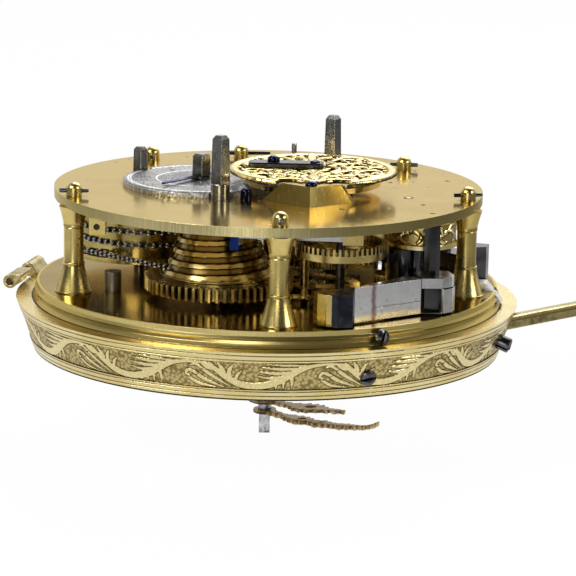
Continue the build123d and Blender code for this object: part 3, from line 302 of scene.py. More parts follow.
def ring_material():
    """Gilt brass with two incised lines in each border, painted near black as shade in the grooves, and
    painted shade in tight corners.
    """
    s = Shade("ring gilt")
    groove = s.lines(s.z, (19.55, 20.45, 27.0, 27.95), 0.05, 0.14)
    groove = s.times(groove, s.ramp(s.noise((180, 180, 40), 3), 0.30, 0.42, 0.35, 1.0))
    tone = s.ramp(s.noise(90, 5, 0.6, 0.4), 0.3, 0.75)
    base = s.blend(tone, (0.84, 0.72, 0.37), (0.72, 0.57, 0.23))
    # Painted shade in tight corners
    base = s.soiled(base, 1.2, 0.75, (0.10, 0.065, 0.015))
    # Painted shade: the incised lines are coloured near black
    base = s.blend(s.times(groove, 0.9), base, (0.10, 0.06, 0.012))
    bumped = s.bump(s.noise((160, 160, 1500), 3, 0.6), 0.0012, 1.0, s.rounded(0.06))
    return s.finish(base, s.line_of(tone, 0.10, 0.22), s.bump(groove, -0.10, 1.0, bumped))


def frieze_material():
    """Gilt relief: bright leaves on a darker matted ground that is darker in its pits, with painted shade in
    the cut beside each leaf.
    """
    s = Shade("frieze gilt")
    relief, pits = s.relief(), s.cells(1500)
    ground = s.ramp(relief, 0.12, 0.4, 1.0, 0.0)
    matted = s.times(ground, s.ramp(pits, 0.30, 0.75))
    base = s.blend(s.ramp(s.noise(2300, 2, 0.6), 0.3, 0.7), (0.86, 0.75, 0.41), (0.74, 0.60, 0.27))
    base = s.blend(s.times(ground, 0.6), base, (0.46, 0.34, 0.12))
    base = s.blend(s.times(matted, 0.75), base, (0.14, 0.09, 0.02))
    # Painted shade: the cut beside each leaf is near black
    base = s.blend(s.ramp(relief, -0.6, 0.0, 0.95, 0.0), base, (0.10, 0.06, 0.01))
    return s.finish(base, s.line_of(ground, 0.16, 0.22), s.bump(pits, 0.05, 0.9))


def enamel_material():
    """White glassy enamel with a faint cool tint and fine dust."""
    s = Shade("white enamel")
    haze = s.noise(60, 4, 0.6)
    base = s.blend(haze, (0.82, 0.81, 0.80), (0.78, 0.78, 0.80))
    base = s.blend(s.ramp(s.noise(900, 2), 0.70, 0.78, 0.0, 0.25), base, (0.35, 0.33, 0.30))
    return s.finish(base, s.line_of(haze, 0.06, 0.07), s.bump(haze, 0.02, 0.3),
                    {"Metallic": 0.0, "Coat Weight": 0.6, "Coat Roughness": 0.05})


def silvered_material():
    """Silvered brass: stippled grey face, bright circular lines, tarnish and a streaked edge."""
    s = Shade("silvered disc")
    grit = s.cells(1700)
    tarnish = s.noise(160, 5, 0.65, 0.6)
    radius = s.axis_distance(regulator_at)
    line = s.lines(radius, (9.0, 14.2, 14.7), 0.10, 0.24)
    centre = s.ramp(radius, 8.8 * MM, 9.1 * MM, 1.0, 0.0)
    wall = s.ramp(s.z, (disc_face - 0.2) * MM, (disc_face - 0.05) * MM, 1.0, 0.0)
    pits = s.times(s.ramp(grit, 0.25, 0.7), s.line_of(centre, 0.35, 0.45))
    base = s.blend(s.ramp(tarnish, 0.3, 0.7), (0.34, 0.34, 0.34), (0.20, 0.198, 0.19))
    base = s.blend(pits, base, (0.06, 0.06, 0.058))
    base = s.blend(s.times(line, 0.85), base, (0.80, 0.80, 0.79))
    strokes = s.ramp(s.noise((1500, 1500, 60), 2, 0.6), 0.3, 0.7)
    base = s.blend(wall, base, s.blend(strokes, (0.62, 0.62, 0.62), (0.30, 0.30, 0.295)))
    depth = s.bump(grit, 0.12, 1.0, s.rounded(0.12))
    return s.finish(base, s.line_of(tarnish, 0.2, 0.30), s.bump(line, -0.06, 1.0, depth))


def foot_material():
    """Olive brass with crossed file scratches."""
    s = Shade("filed brass")
    marks = s.times(s.noise((120, 2600, 400), 3, 0.7, turn=35), s.noise((2200, 110, 400), 3, 0.7, turn=-20))
    patch = s.noise(180, 5, 0.6, 0.5)
    base = s.blend(s.ramp(patch, 0.3, 0.7), (0.46, 0.36, 0.12), (0.34, 0.25, 0.07))
    base = s.blend(s.ramp(marks, 0.30, 0.42, 0.0, 0.7), base, (0.80, 0.68, 0.36))
    return s.finish(base, s.line_of(patch, 0.16, 0.24), s.bump(marks, 0.02, 0.8, s.rounded(0.10)))


def hammer_material():
    """Steel head: pale front face with a red line and a level crack."""
    s = Shade("hammer steel")
    near, far = np.array((29.9, -30.2)), np.array((16.9, -39.6))
    run = (far - near) / np.linalg.norm(far - near)
    red_at, crack_to, crack_level = 11.45 * MM, 11.0 * MM, 34.65 * MM
    steps = [s.times(s.math("SUBTRACT", value, float(start) * MM), float(share))
             for value, start, share in zip((s.x, s.y), near, run)]
    along = s.math("ADD", *steps)
    patch = s.noise(240, 5, 0.65, 0.6)
    waver = s.times(s.math("SUBTRACT", s.noise(500, 4), 0.5), 0.0012)
    base = s.blend(s.ramp(patch, 0.3, 0.75), (0.84, 0.84, 0.835), (0.70, 0.695, 0.68))
    red = s.ramp(s.away(s.math("ADD", along, waver), red_at), 0.0001, 0.0008, 0.72, 0.0)
    base = s.blend(red, base, (0.20, 0.035, 0.045))
    level = s.away(s.math("ADD", s.z, s.times(waver, 0.5)), crack_level)
    short = s.ramp(along, crack_to - 0.2 * MM, crack_to + 0.2 * MM, 1.0, 0.0)
    crack = s.times(s.ramp(level, 0.00002, 0.00012, 0.9, 0.0), short)
    base = s.blend(crack, base, (0.04, 0.04, 0.04))
    base = s.blend(s.ramp(s.noise(1500, 2), 0.66, 0.74, 0.0, 0.6), base, (0.12, 0.11, 0.10))
    bumped = s.bump(s.noise((200, 200, 3000), 3, 0.7), 0.004, 1.0, s.rounded(0.14))
    return s.finish(base, s.line_of(patch, 0.14, 0.20), s.bump(crack, -0.05, 1.0, bumped))


def relief_material(name, high, mid, deep, rough, bite=2400):
    """Metal worked in relief: lighter where the stored value is high and dark where it is low, as painted
    highlight and shade, with painted shade in corners.
    """
    s = Shade(name)
    relief, grit = s.relief(), s.noise(900, 3, 0.6)
    # Painted highlight where the stored value is high, painted shade where it is low
    base = s.blend(s.ramp(relief, 0.1, 0.75), mid, high)
    base = s.blend(s.ramp(relief, -0.45, 0.12, 1.0, 0.0), base, deep)
    base = s.blend(s.ramp(grit, 0.55, 0.75, 0.0, 0.45), base, darker(0.45, mid))
    # Painted shade in tight corners
    base = s.soiled(base, 1.0, 0.7, deep)
    return s.finish(base, s.line_of(grit, 0.12, rough), s.bump(s.cells(bite), 0.012, 0.6))


def wax_material():
    """Dark wax in the numbers and marks of the regulator disc."""
    s = Shade("dark wax")
    base = s.blend(s.noise(900, 3), (0.015, 0.014, 0.013), (0.06, 0.055, 0.05))
    return s.finish(base, 0.5, None, {"Metallic": 0.0})


mat_plate = plate_material("top plate brass", (0.72, 0.565, 0.26), (0.66, 0.50, 0.20), (0.92, 0.79, 0.40),
                           (0.30, 0.235, 0.07), 0.12, top_radius - 0.14)
# The pillar plate's face is painted darker than the top plate's, as shade under the top plate
mat_low_plate = plate_material("pillar plate brass", (0.36, 0.265, 0.10), (0.27, 0.19, 0.07),
                               (0.80, 0.66, 0.28), (0.50, 0.39, 0.12), 0.13, plate_radius - 0.5)
mat_frieze, mat_hammer = frieze_material(), hammer_material()
mat_foot, mat_wax = foot_material(), wax_material()
mat_engraved = relief_material("engraved gilt", (0.86, 0.71, 0.32), (0.58, 0.43, 0.14),
                               (0.05, 0.032, 0.008), 0.20)
mat_hand = relief_material("chased gilt", (0.66, 0.53, 0.30), (0.36, 0.25, 0.12), (0.07, 0.045, 0.02),
                           0.26, 1500)
# Fusee brass, with painted shade in the groove and painted highlight on the lands
mat_fusee = relief_material("fusee brass with painted light", (0.60, 0.48, 0.20), (0.25, 0.175, 0.06), (0.03, 0.018, 0.006),
                            0.16,
                            1200)
mat_chain = relief_material("chain steel", (0.72, 0.71, 0.69), (0.20, 0.19, 0.18), (0.012, 0.011, 0.010),
                            0.20,
                            1800)
mat_drum = relief_material("engraved drum", (0.88, 0.74, 0.38), (0.62, 0.47, 0.17), (0.08, 0.05, 0.012),
                           0.18)
mat_turned, mat_wheel, mat_gilt = (finish_of[name]
                                   for name in ("turned brass", "wheel brass", "gilt brass"))
mat_steel, mat_dark, mat_black = (finish_of[name]
                                  for name in ("grey steel", "dark steel", "glossy dark steel"))
mat_bright, mat_blued, mat_hole = (finish_of[name] for name in ("bright steel", "blued steel", "pin hole"))

# Finish of each CAD piece: its slot's, unless it has its own
slot_finishes = {
    "bright_brass": mat_plate, "gilt_brass": mat_gilt, "bright_steel": mat_bright, "blued_steel": mat_blued,
    "dark_steel": mat_dark, "white_enamel": enamel_material(), "silvered_brass": silvered_material(),
}
own_finishes = (
    (ring_material(), ("dial_ring",)),
    (mat_low_plate, ("pillar_plate",)),
    (mat_foot, ("cock_foot",)),
    (mat_hammer, ("hammer",)),
    (mat_turned, ("pillars", "hammer_tail", "barrel_cap", "worm_block")),
    (mat_wheel,
     ("great_wheel", "centre_wheel", "third_wheel", "contrate_wheel", "crown_wheel", "second_wheel",
                 "minute_wheel", "hour_wheel", "strike_barrel", "train_bridge", "stop_block")),
    (mat_steel, ("fusee_arbor", "barrel_arbor", "strike_arbor", "regulator_square")),
    (mat_dark, ("pivot_bar", "far_hammer")),
    (mat_bright, ("stop_iron",)),
    (mat_black, ("spring_post",)),
    (finish_of["barrel brass"], ("barrel_drum",)),
    (finish_of["lever brass"], ("pull_lever", "hinge_knuckles")),
    (finish_of["pitted steel"], ("cannon",)),
    (finish_of["worn steel"], ("click_post",)),
    (finish_of["pale steel"], ("latch_bolt",)),
)
own_finish = {name: material for material, names in own_finishes for name in names}
slot_of = {entry["node"]: entry["material_slot"] for entry in frame["record"]["subparts"]}
for name, item in nodes.items():
    item.data.materials.clear()
    item.data.materials.append(own_finish.get(name, slot_finishes.get(slot_of.get(name), mat_plate)))


# Mesh helpers
def build(name, points, faces, material, body, stands_for=(), slot="bright_brass", smooth=True, angle=35):
    """A piece from points in millimetres."""
    mesh = bpy.data.meshes.new(name)
    mesh.from_pydata([tuple(v * MM for v in p) for p in points], [], [tuple(f) for f in faces])
    mesh.validate()
    mesh.update()
    item = bpy.data.objects.new(name, mesh)
    scene.collection.objects.link(item)
    mesh.materials.append(material)
    if smooth:
        mesh.shade_smooth()
        mesh.set_sharp_from_angle(angle=radians(angle))
    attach(item, body)
    if stands_for:
        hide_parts(*stands_for)
    return item


def mark(item, values):
    """Store a value for each point of a worked surface that sets its painted highlight and shade."""
    attribute = item.data.attributes.new("relief", "FLOAT", "POINT")
    attribute.data.foreach_set("value", [float(v) for v in values])


def soften(item, times):
    smooth = item.modifiers.new("soften", "SMOOTH")
    smooth.factor, smooth.iterations = 0.5, times


def around(centre, radius, bearing, aside=0.0):
    """The place at a radius and bearing from a centre, moved aside at right angles."""
    c, s = cos(radians(bearing)), sin(radians(bearing))
    return centre[0] + radius * c - aside * s, centre[1] + radius * s + aside * c


def tube(rings, size):
    """Sides between rings of points that follow one another."""
    return [(i * size + k, i * size + (k + 1) % size, (i + 1) * size + (k + 1) % size, (i + 1) * size + k)
            for i in range(rings - 1) for k in range(size)]


def ends(rings, size):
    """Flat faces on the first and the last ring of a tube."""
    return [tuple(reversed(range(size))), tuple(range((rings - 1) * size, rings * size))]


def turned(columns, rows):
    """Sides of a surface of upright columns of points that closes on itself."""
    return [(i * rows + k, (i + 1) % columns * rows + k, (i + 1) % columns * rows + k + 1, i * rows + k + 1)
            for i in range(columns) for k in range(rows - 1)]


def turned_ends(columns, rows):
    return [[i * rows for i in reversed(range(columns))], [i * rows + rows - 1 for i in range(columns)]]


def lathe(outline, centre=(0, 0), steps=64):
    """Points and faces of an outline of (radius, height) turned about an upright axis."""
    points = []
    for i in range(steps):
        a = tau * i / steps
        points += [(centre[0] + r * cos(a), centre[1] + r * sin(a), z) for r, z in outline]
    return points, turned(steps, len(outline))


def slab(points, low, high):
    """A flat piece of any outline between two levels."""
    n = len(points)
    area = sum(points[k][0] * points[(k + 1) % n][1] - points[(k + 1) % n][0] * points[k][1]
               for k in range(n))
    if area < 0:
        points = points[::-1]
    out = [(x, y, z) for z in (low, high) for x, y in points]
    return out, ends(2, n) + tube(2, n)


def prism(at, turn, rings, sides=4):
    """A bar of flat sides through (height, distance of its flats) pairs."""
    points = []
    for z, flat in rings:
        for k in range(sides):
            points.append((*around(at, flat / cos(pi / sides), turn + 360 * (k + 0.5) / sides), z))
    return points, tube(len(rings), sides) + ends(len(rings), sides)


def join(parts):
    """Several (points, faces) as one."""
    points, faces = [], []
    for more_points, more_faces in parts:
        base = len(points)
        points += more_points
        faces += [tuple(base + i for i in face) for face in more_faces]
    return points, faces


def rounded_curve(points, per=8):
    """A smooth curve through points of any width, as a list."""
    pts = np.array([points[0]] + list(points) + [points[-1]], float)
    out = []
    for i in range(1, len(pts) - 2):
        a, b, c, d = pts[i - 1:i + 3]
        for t in np.linspace(0, 1, per, endpoint=False):
            bent = (2 * a - 5 * b + 4 * c - d) * t * t + (3 * b - a - 3 * c + d) * t**3
            out.append(0.5 * (2 * b + (c - a) * t + bent))
    out.append(pts[-2])
    return np.array(out)


def relief_grid(strokes, u, v, period=None, veins=True):
    """Raised height between 0 and 1 over a grid, with a cut line beside each stroke."""
    thin, margin = 0.05, 1.2
    height, cut = np.zeros(u.shape), np.zeros(u.shape)
    for stroke in strokes:
        line = rounded_curve(stroke, 9)
        for shift in (-period, 0, period) if period else (0,):
            near = (u >= line[:, 0].min() + shift - margin) & (u <= line[:, 0].max() + shift + margin)
            if not near.any():
                continue
            uu, vv = u[near], v[near]
            away, width = np.full(uu.shape, 1e9), np.zeros(uu.shape)
            for p, q in zip(line[:-1], line[1:]):
                ax, ay = p[0] + shift, p[1]
                dx, dy = q[0] - p[0], q[1] - p[1]
                t = np.clip(((uu - ax) * dx + (vv - ay) * dy) / (dx * dx + dy * dy + 1e-9), 0, 1)
                dist = np.hypot(uu - ax - t * dx, vv - ay - t * dy)
                w = p[2] + (q[2] - p[2]) * t
                closer = dist / np.maximum(w, thin) < away / np.maximum(width, thin)
                away = np.where(closer, dist, away)
                width = np.where(closer, w, width)
            share = away / np.maximum(width, thin)
            rise = np.sqrt(np.clip(1 - share**2.4, 0, 1))
            if veins:
                rise = rise - 0.30 * np.exp(-(share / 0.16) ** 2) * (width > 0.28)
            edge = np.exp(-((away - width - 0.04) / 0.075) ** 2)
            if stroke is strokes[-1]:
                edge = edge * (height[near] < 0.3)
            raised = rise > 0.05
            cut[near] = np.maximum(np.where(raised, 0.0, cut[near]), edge)
            height[near] = np.where(raised, rise, height[near] * (1 - 0.95 * edge))
    return height, cut


def sheet(solid):
    """The grid points that a two-sided sheet uses, and the faces of its front, back and walls."""
    cell = solid[:-1, :-1] & solid[1:, :-1] & solid[1:, 1:] & solid[:-1, 1:]
    used = np.zeros(solid.shape, bool)
    for a in (slice(None, -1), slice(1, None)):
        for b in (slice(None, -1), slice(1, None)):
            used[a, b] |= cell
    total = int(used.sum())
    index = -np.ones(solid.shape, int)
    index[used] = np.arange(total)
    faces = []
    for i, j in np.argwhere(cell):
        a, b, c, d = index[i, j], index[i + 1, j], index[i + 1, j + 1], index[i, j + 1]
        faces.append((a, b, c, d))
        faces.append((a + total, d + total, c + total, b + total))
        for p, q, there in ((a, b, (i, j - 1)), (b, c, (i + 1, j)), (c, d, (i, j + 1)), (d, a, (i - 1, j))):
            inside = 0 <= there[0] < cell.shape[0] and 0 <= there[1] < cell.shape[1]
            if not (inside and cell[there]):
                faces.append((q, p, p + total, q + total))
    return used, faces


# Pillars: trumpet feet and heads, a reeded waist and a domed stem through the top plate
def pillar_profile():
    foot, flare, stem, dome_low, dome_tall = plate_face + 0.3, 12, 1.54, 52.4, 1.3
    outline = [(0, plate_face), (3.66, plate_face), (3.66, plate_face + 0.25), (3.52, foot)]
    outline += [(2.14 + 1.38 * (1 - i / flare) ** 1.18, foot + 5.1 * i / flare)
                for i in range(1, flare + 1)]
    outline += [(2.0, 37.25), (2.0, 37.4), (2.2, 37.45), (2.2, 37.75), (2.02, 37.8), (1.98, 38.2)]
    outline += [(1.94, 41.2), (1.97, 44.7), (1.88, 44.85), (1.88, 44.95), (2.1, 45.0), (2.1, 45.2)]
    outline += [(2.02 + 0.86 * (i / flare) ** 1.25, 45.25 + 3.6 * i / flare) for i in range(1, flare + 1)]
    outline += [(2.9, top_under), (stem, top_under), (stem, dome_low)]
    for i in range(1, 9):
        a = i / 9 * pi / 2
        outline.append((stem * cos(a), dome_low + dome_tall * sin(a)))
    return outline + [(near_axis, dome_low + dome_tall)]


turned_pillars = [lathe(pillar_profile(), spot, 48) for spot in pillar_spots]
build("turned_pillars", *join(turned_pillars), mat_turned, "frame", ["pillars"], angle=28)


# Taper pins, hammered at the ends
def pin(spot, bearing, back=-2.9, front=2.88):
    sides, level = 14, 52.0
    rings = [(back, 0.30), (back + 0.1, 0.44), (-1.2, 0.45), (1.2, 0.44), (front - 0.13, 0.36),
             (front, 0.24)]
    points = []
    for along, r in rings:
        for k in range(sides):
            a = tau * k / sides
            points.append((*around(spot, along, bearing, r * cos(a)), level + r * sin(a)))
    return points, tube(len(rings), sides) + ends(len(rings), sides)


long_pin = pillar_spots[4]
pins = [pin(s, b) for s, b in zip(pillar_spots, pin_bearings) if s != long_pin]
pins.append(pin(long_pin, 4, -4.6, 6.2))
build("taper_pins", *join(pins), mat_dark, "frame", ["pillar_pins"], slot="dark_steel")


# Frieze relief: twelve repeats of a leafy wave on a matted ground
def strokes_of_repeat():
    """Each stroke is a list of (along, up, half width) for one repeat."""
    stem = [(-9.6, 5.4, 0.26), (-8.0, 4.6, 0.48), (-6.0, 3.05, 0.64), (-4.0, 1.75, 0.74), (-2.0, 1.0, 0.80),
            (0.0, 0.8, 0.82), (2.2, 1.05, 0.82), (4.4, 1.85, 0.80), (6.4, 3.0, 0.76), (8.4, 4.2, 0.68),
            (10.2, 4.95, 0.54), (12.2, 5.3, 0.42), (14.2, 5.4, 0.34), (16.0, 5.35, 0.28)]
    # Leaves: root, middle and tip, and the half width at the middle
    leaves = (
        (-7.4, 4.1, -8.9, 4.4, -10.2, 5.3, 0.42), (-6.6, 3.5, -7.6, 4.5, -8.6, 5.6, 0.44),
        (-5.6, 2.9, -6.1, 4.3, -6.9, 5.6, 0.46), (-4.6, 2.3, -4.7, 3.9, -4.0, 5.2, 0.44),
        (-3.6, 1.9, -3.2, 3.1, -2.4, 4.0, 0.34), (10.4, 4.9, 7.4, 3.7, 7.2, 0.5, 0.48),
        (9.2, 4.3, 5.9, 3.1, 5.6, 0.4, 0.50), (7.8, 3.5, 4.6, 2.2, 4.1, 0.4, 0.48),
        (6.2, 2.6, 3.7, 1.4, 2.7, 0.35, 0.42), (10.0, 5.1, 6.4, 5.3, 3.0, 5.45, 0.34),
        (8.8, 4.6, 5.2, 4.5, 1.6, 4.8, 0.42), (7.4, 3.8, 4.2, 3.6, 0.9, 3.9, 0.44),
        (5.8, 3.0, 3.2, 2.6, 0.8, 2.9, 0.36), (-9.8, 4.0, -8.2, 2.8, -4.6, 0.6, 0.40),
        (-11.4, 3.2, -9.6, 1.9, -5.8, 0.35, 0.42), (-12.6, 2.0, -10.8, 0.9, -7.6, 0.3, 0.36),
    )
    strokes = [[(x, y, w * 0.9), (mx, my, w), (tx, ty, 0.14)] for x, y, mx, my, tx, ty, w in leaves]
    strokes.append([(-11.2, 3.0, 0.34), (-12.6, 3.6, 0.36), (-13.2, 2.8, 0.30), (-12.5, 2.4, 0.2)])
    strokes.append([(-10.0, 4.2, 0.3), (-11.2, 4.9, 0.3), (-12.2, 4.6, 0.14)])
    return strokes + [stem]


def ring_wall(z):
    return ring_low_radius + (ring_radius - ring_low_radius) / (ring_top - ring_low) * (z - ring_low)


def in_lever_slot(x, y, z):
    """Inside the lever's slot through the ring."""
    turn = np.degrees(np.arctan2(y - lever_at[1], x - lever_at[0]))
    return (z > 23.95) & (z < 27.85) & (turn > 38.0) & (turn < 66.0) & (x > 30)


def make_frieze():
    repeats, per_repeat, rows, middle_radius = 12, 150, 44, 49
    columns, first, period = repeats * per_repeat, radians(-92), tau * middle_radius / repeats
    u = np.linspace(0, period, per_repeat, endpoint=False)
    v = np.linspace(0, frieze_high - frieze_low, rows)
    height, cut = relief_grid(strokes_of_repeat(), *np.meshgrid(u, v, indexing="ij"), period)
    rng = np.random.default_rng(4)
    z = frieze_low + v
    points, values = [], []
    for i in range(columns):
        a = first + tau * i / columns
        h, c = height[i % per_repeat], cut[i % per_repeat]
        grain = rng.random(rows)
        lift = 0.10 + 0.17 * h + 0.05 * grain * (h < 0.2) - 0.09 * c
        lift[[0, -1]] = -0.02
        r = ring_wall(z) - frieze_sink + lift
        points += np.stack([r * cos(a), r * sin(a), z], 1).tolist()
        values += (h - c).tolist()
    gone = in_lever_slot(*np.array(points).T)
    faces = [face for face in turned(columns, rows) if not gone[list(face)].any()]
    item = build("frieze_relief", points, faces, mat_frieze, "frame", slot="gilt_brass", smooth=False)
    item.data.shade_smooth()
    mark(item, values)


make_frieze()


# Pierced and engraved cock table
def table_strokes():
    """Foliage for one half of the table, about its axis through the foot, as (across, up, half width)."""
    return [
        [(0.0, -14.2, 0.9), (1.8, -12.4, 0.8), (4.6, -11.6, 0.7), (7.2, -12.0, 0.6), (8.4, -10.6, 0.5),
         (7.4, -9.4, 0.45), (6.2, -10.0, 0.3)],
        [(1.6, -12.2, 0.7), (2.2, -9.6, 0.75), (4.4, -7.8, 0.75), (6.6, -7.2, 0.6), (8.0, -8.0, 0.4)],
        [(2.4, -9.4, 0.6), (1.6, -7.4, 0.6), (2.6, -5.4, 0.6), (4.8, -5.0, 0.5), (5.6, -6.0, 0.3)],
        [(6.0, -7.4, 0.6), (9.4, -6.4, 0.7), (12.2, -7.2, 0.6), (13.6, -5.6, 0.5), (12.6, -4.2, 0.4),
         (11.4, -5.0, 0.3)],
        [(8.6, -6.6, 0.6), (8.6, -4.0, 0.7), (10.0, -1.8, 0.7), (12.6, -1.6, 0.5), (13.6, -3.0, 0.3)],
        [(9.4, -2.6, 0.6), (7.4, -1.4, 0.7), (7.2, 1.0, 0.7), (9.2, 2.4, 0.6), (11.4, 1.6, 0.5),
         (11.0, 0.2, 0.35)],
        [(4.0, -5.2, 0.55), (5.6, -3.0, 0.6), (7.6, -1.6, 0.6)],
        [(3.6, -3.6, 0.5), (5.0, -1.0, 0.6), (4.8, 1.6, 0.6), (3.4, 3.2, 0.5)],
        [(7.4, 0.8, 0.6), (6.0, 3.2, 0.7), (6.8, 5.6, 0.7), (9.2, 6.2, 0.6), (10.6, 4.8, 0.4)],
        [(11.6, 1.8, 0.6), (13.4, 3.0, 0.6), (13.2, 5.4, 0.6), (11.4, 7.0, 0.6), (12.2, 8.6, 0.3)],
        [(9.0, 6.2, 0.6), (9.6, 8.6, 0.7), (8.2, 10.6, 0.6), (6.2, 10.2, 0.4), (6.6, 8.8, 0.3)],
        [(6.6, 5.4, 0.6), (4.6, 6.2, 0.7), (3.6, 8.2, 0.7), (4.6, 10.4, 0.6), (6.0, 12.6, 0.5),
         (8.2, 12.4, 0.3)],
        [(0.0, 3.0, 0.8), (1.6, 4.8, 0.7), (2.2, 7.2, 0.7), (1.2, 9.6, 0.7), (1.8, 11.8, 0.6),
         (3.8, 13.4, 0.5)],
        [(0.0, 14.6, 0.9), (0.2, 12.0, 0.8), (0.0, 9.0, 0.7), (0.4, 6.0, 0.7), (0.0, 3.0, 0.8)],
        [(3.4, 3.2, 0.5), (4.6, 4.4, 0.5), (6.2, 4.4, 0.4)],
        [(9.6, -10.6, 0.4), (11.2, -9.8, 0.5), (12.4, -8.6, 0.35)],
        [(9.2, 10.4, 0.5), (10.8, 10.6, 0.5), (11.4, 9.4, 0.3)],
        [(0.0, -11.6, 0.7), (0.4, -9.0, 0.8), (0.0, -6.2, 0.7), (0.6, -4.0, 0.6), (0.0, -2.6, 0.5)],
    ]


def make_table():
    pitch, flutes, rim_at, boss_radius, groove_at, foot_half_turn = 0.19, 96, 15.85, 2.9, 2.4, 26.5
    axis = np.linspace(-cock_radius, cock_radius, int(2 * cock_radius / pitch) + 2)
    gu, gv = np.meshgrid(axis, axis, indexing="ij")
    height, cut = relief_grid(table_strokes(), np.abs(gu), gv)
    radius = np.hypot(gu, gv)
    rim = np.clip(1 - (np.abs(radius - rim_at) / 1.0) ** 4, 0, 1)
    boss = np.clip(1.2 - (radius / boss_radius) ** 4, 0, 1)
    ring = np.exp(-((radius - groove_at) / 0.18) ** 2)
    solid = (height > 0.02) | (rim > 0) | (boss > 0.2) | (cut > 0.35)
    # A second small ornament fills the wide openings
    wave_u, wave_v = gu * 2.1 + 1.4 * np.sin(gv * 1.3), gv * 2.2 + 1.2 * np.sin(np.abs(gu) * 1.2)
    small = (np.sin(wave_u) * np.sin(wave_v) > 0.12) & ~solid
    from_foot = np.abs(np.degrees(np.arctan2(gu, -gv)))
    at_foot = (from_foot < foot_half_turn) & (radius > 14.35)
    solid = (solid | small) & (radius <= cock_radius - 0.1) & ~at_foot
    flute = (0.5 + 0.5 * np.sin(np.arctan2(gv, gu) * flutes)) * ((radius > 14.95) & (radius < 15.35))
    rise = 0.30 * height + 0.06 * small + 0.34 * np.sqrt(rim) + 0.22 * boss
    rise = rise - 0.10 * ring - 0.12 * cut - 0.06 * flute
    drop = 0.40 * np.clip((radius - cock_radius + 0.7) / 0.6, 0, 1) ** 2
    # Painted light: raised foliage, rim and boss lighter as highlight; cuts, flutes and the groove darker as
    # shade
    tone = 0.95 * height + 0.1 * small + 0.9 * (rim > 0.3) + 0.8 * (boss > 0.2)
    tone = tone - 0.9 * cut * (rim < 0.3) - 0.5 * flute - 0.3 * ring
    used, faces = sheet(solid)
    turn = atan2(foot_at[1] - balance_at[1], foot_at[0] - balance_at[0]) + pi / 2
    px = gu[used] * cos(turn) - gv[used] * sin(turn) + balance_at[0]
    py = gu[used] * sin(turn) + gv[used] * cos(turn) + balance_at[1]
    top = cock_high - 0.26 + rise[used] - drop[used]
    points = np.concatenate([np.stack([px, py, level], 1) for level in (top, np.full(top.shape, cock_low))])
    item = build("pierced_table", points.tolist(), faces, mat_engraved, "frame", ["cock_table"],
                 "gilt_brass",
                 angle=60)
    # The underside is given -0.6: painted shade
    mark(item, list(tone[used]) + [-0.6] * len(top))
    soften(item, 2)


make_table()


# Fusee: cone with its groove cut in one long thread above a plain foot
def fusee_land(share):
    """Radius of the cone at a share of its height."""
    return fusee_top_radius + fusee_spread * (1 - share) ** 1.4


def make_fusee():
    columns, rows, thread_from, thread_to = 120, 22 * fusee_turns + 1, 0.36, 0.90
    rise = (fusee_high - fusee_low) / fusee_turns
    points, values = [], []
    for i in range(columns):
        for z in np.linspace(fusee_low, fusee_high, rows).tolist():
            phase = ((z - fusee_low) / rise - i / columns + 0.52) % 1.0
            inside = thread_from < phase < thread_to and fusee_low + 0.75 <= z <= fusee_high - 0.3
            edge = min(abs(phase - thread_from), abs(phase - thread_to))
            sink = groove_depth if inside else 0.10 * (edge < 0.05)
            r = fusee_land((z - fusee_low) / (fusee_high - fusee_low)) - sink
            points.append((*around(fusee_at, r, 360 * i / columns), z))
            # Painted light: the groove dark as shade, the edges of the lands light as highlight
            values.append(-0.25 + 0.3 * min(1, edge / 0.2) if inside else 0.55 + 0.45 * (edge < 0.10))
    faces = turned(columns, rows) + turned_ends(columns, rows)
    mark(build("threaded_fusee", points, faces, mat_fusee, "fusee", ["fusee_cone"], "gilt_brass",
               angle=25), values)


make_fusee()


# Chain: paired outer leaves and single inner leaves on rivets
def link_path(pitch):
    """Place, height and bearing of each link, wound turns first, then the run to the fusee."""
    chain_radius, wound_turns, climb, start_low = 13.85, 2.75, 2.6, 36.7
    wrap = fusee_land(1 / fusee_turns) - 0.23
    end_low = fusee_low + 0.65 * (fusee_high - fusee_low) / fusee_turns
    across = (fusee_at[0] - barrel_at[0], fusee_at[1] - barrel_at[1])
    leave = degrees(atan2(across[1], across[0]) + atan2(chain_radius - wrap, hypot(*across))) - 90
    step = degrees(pitch / chain_radius)
    spots = []
    for i in range(int(wound_turns * 360 / step), 0, -1):
        a = leave - i * step
        spots.append((*around(barrel_at, chain_radius, a), start_low + climb * i * step / 360, a + 90))
    start, end = around(barrel_at, chain_radius, leave), around(fusee_at, wrap, leave)
    run = (end[0] - start[0], end[1] - start[1])
    heading = degrees(atan2(run[1], run[0]))
    count = int(hypot(*run) / pitch)
    for i in range(1, count - 2):
        t = i / count
        spots.append((start[0] + t * run[0], start[1] + t * run[1], start_low + t * (end_low - start_low),
                      heading))
    return spots


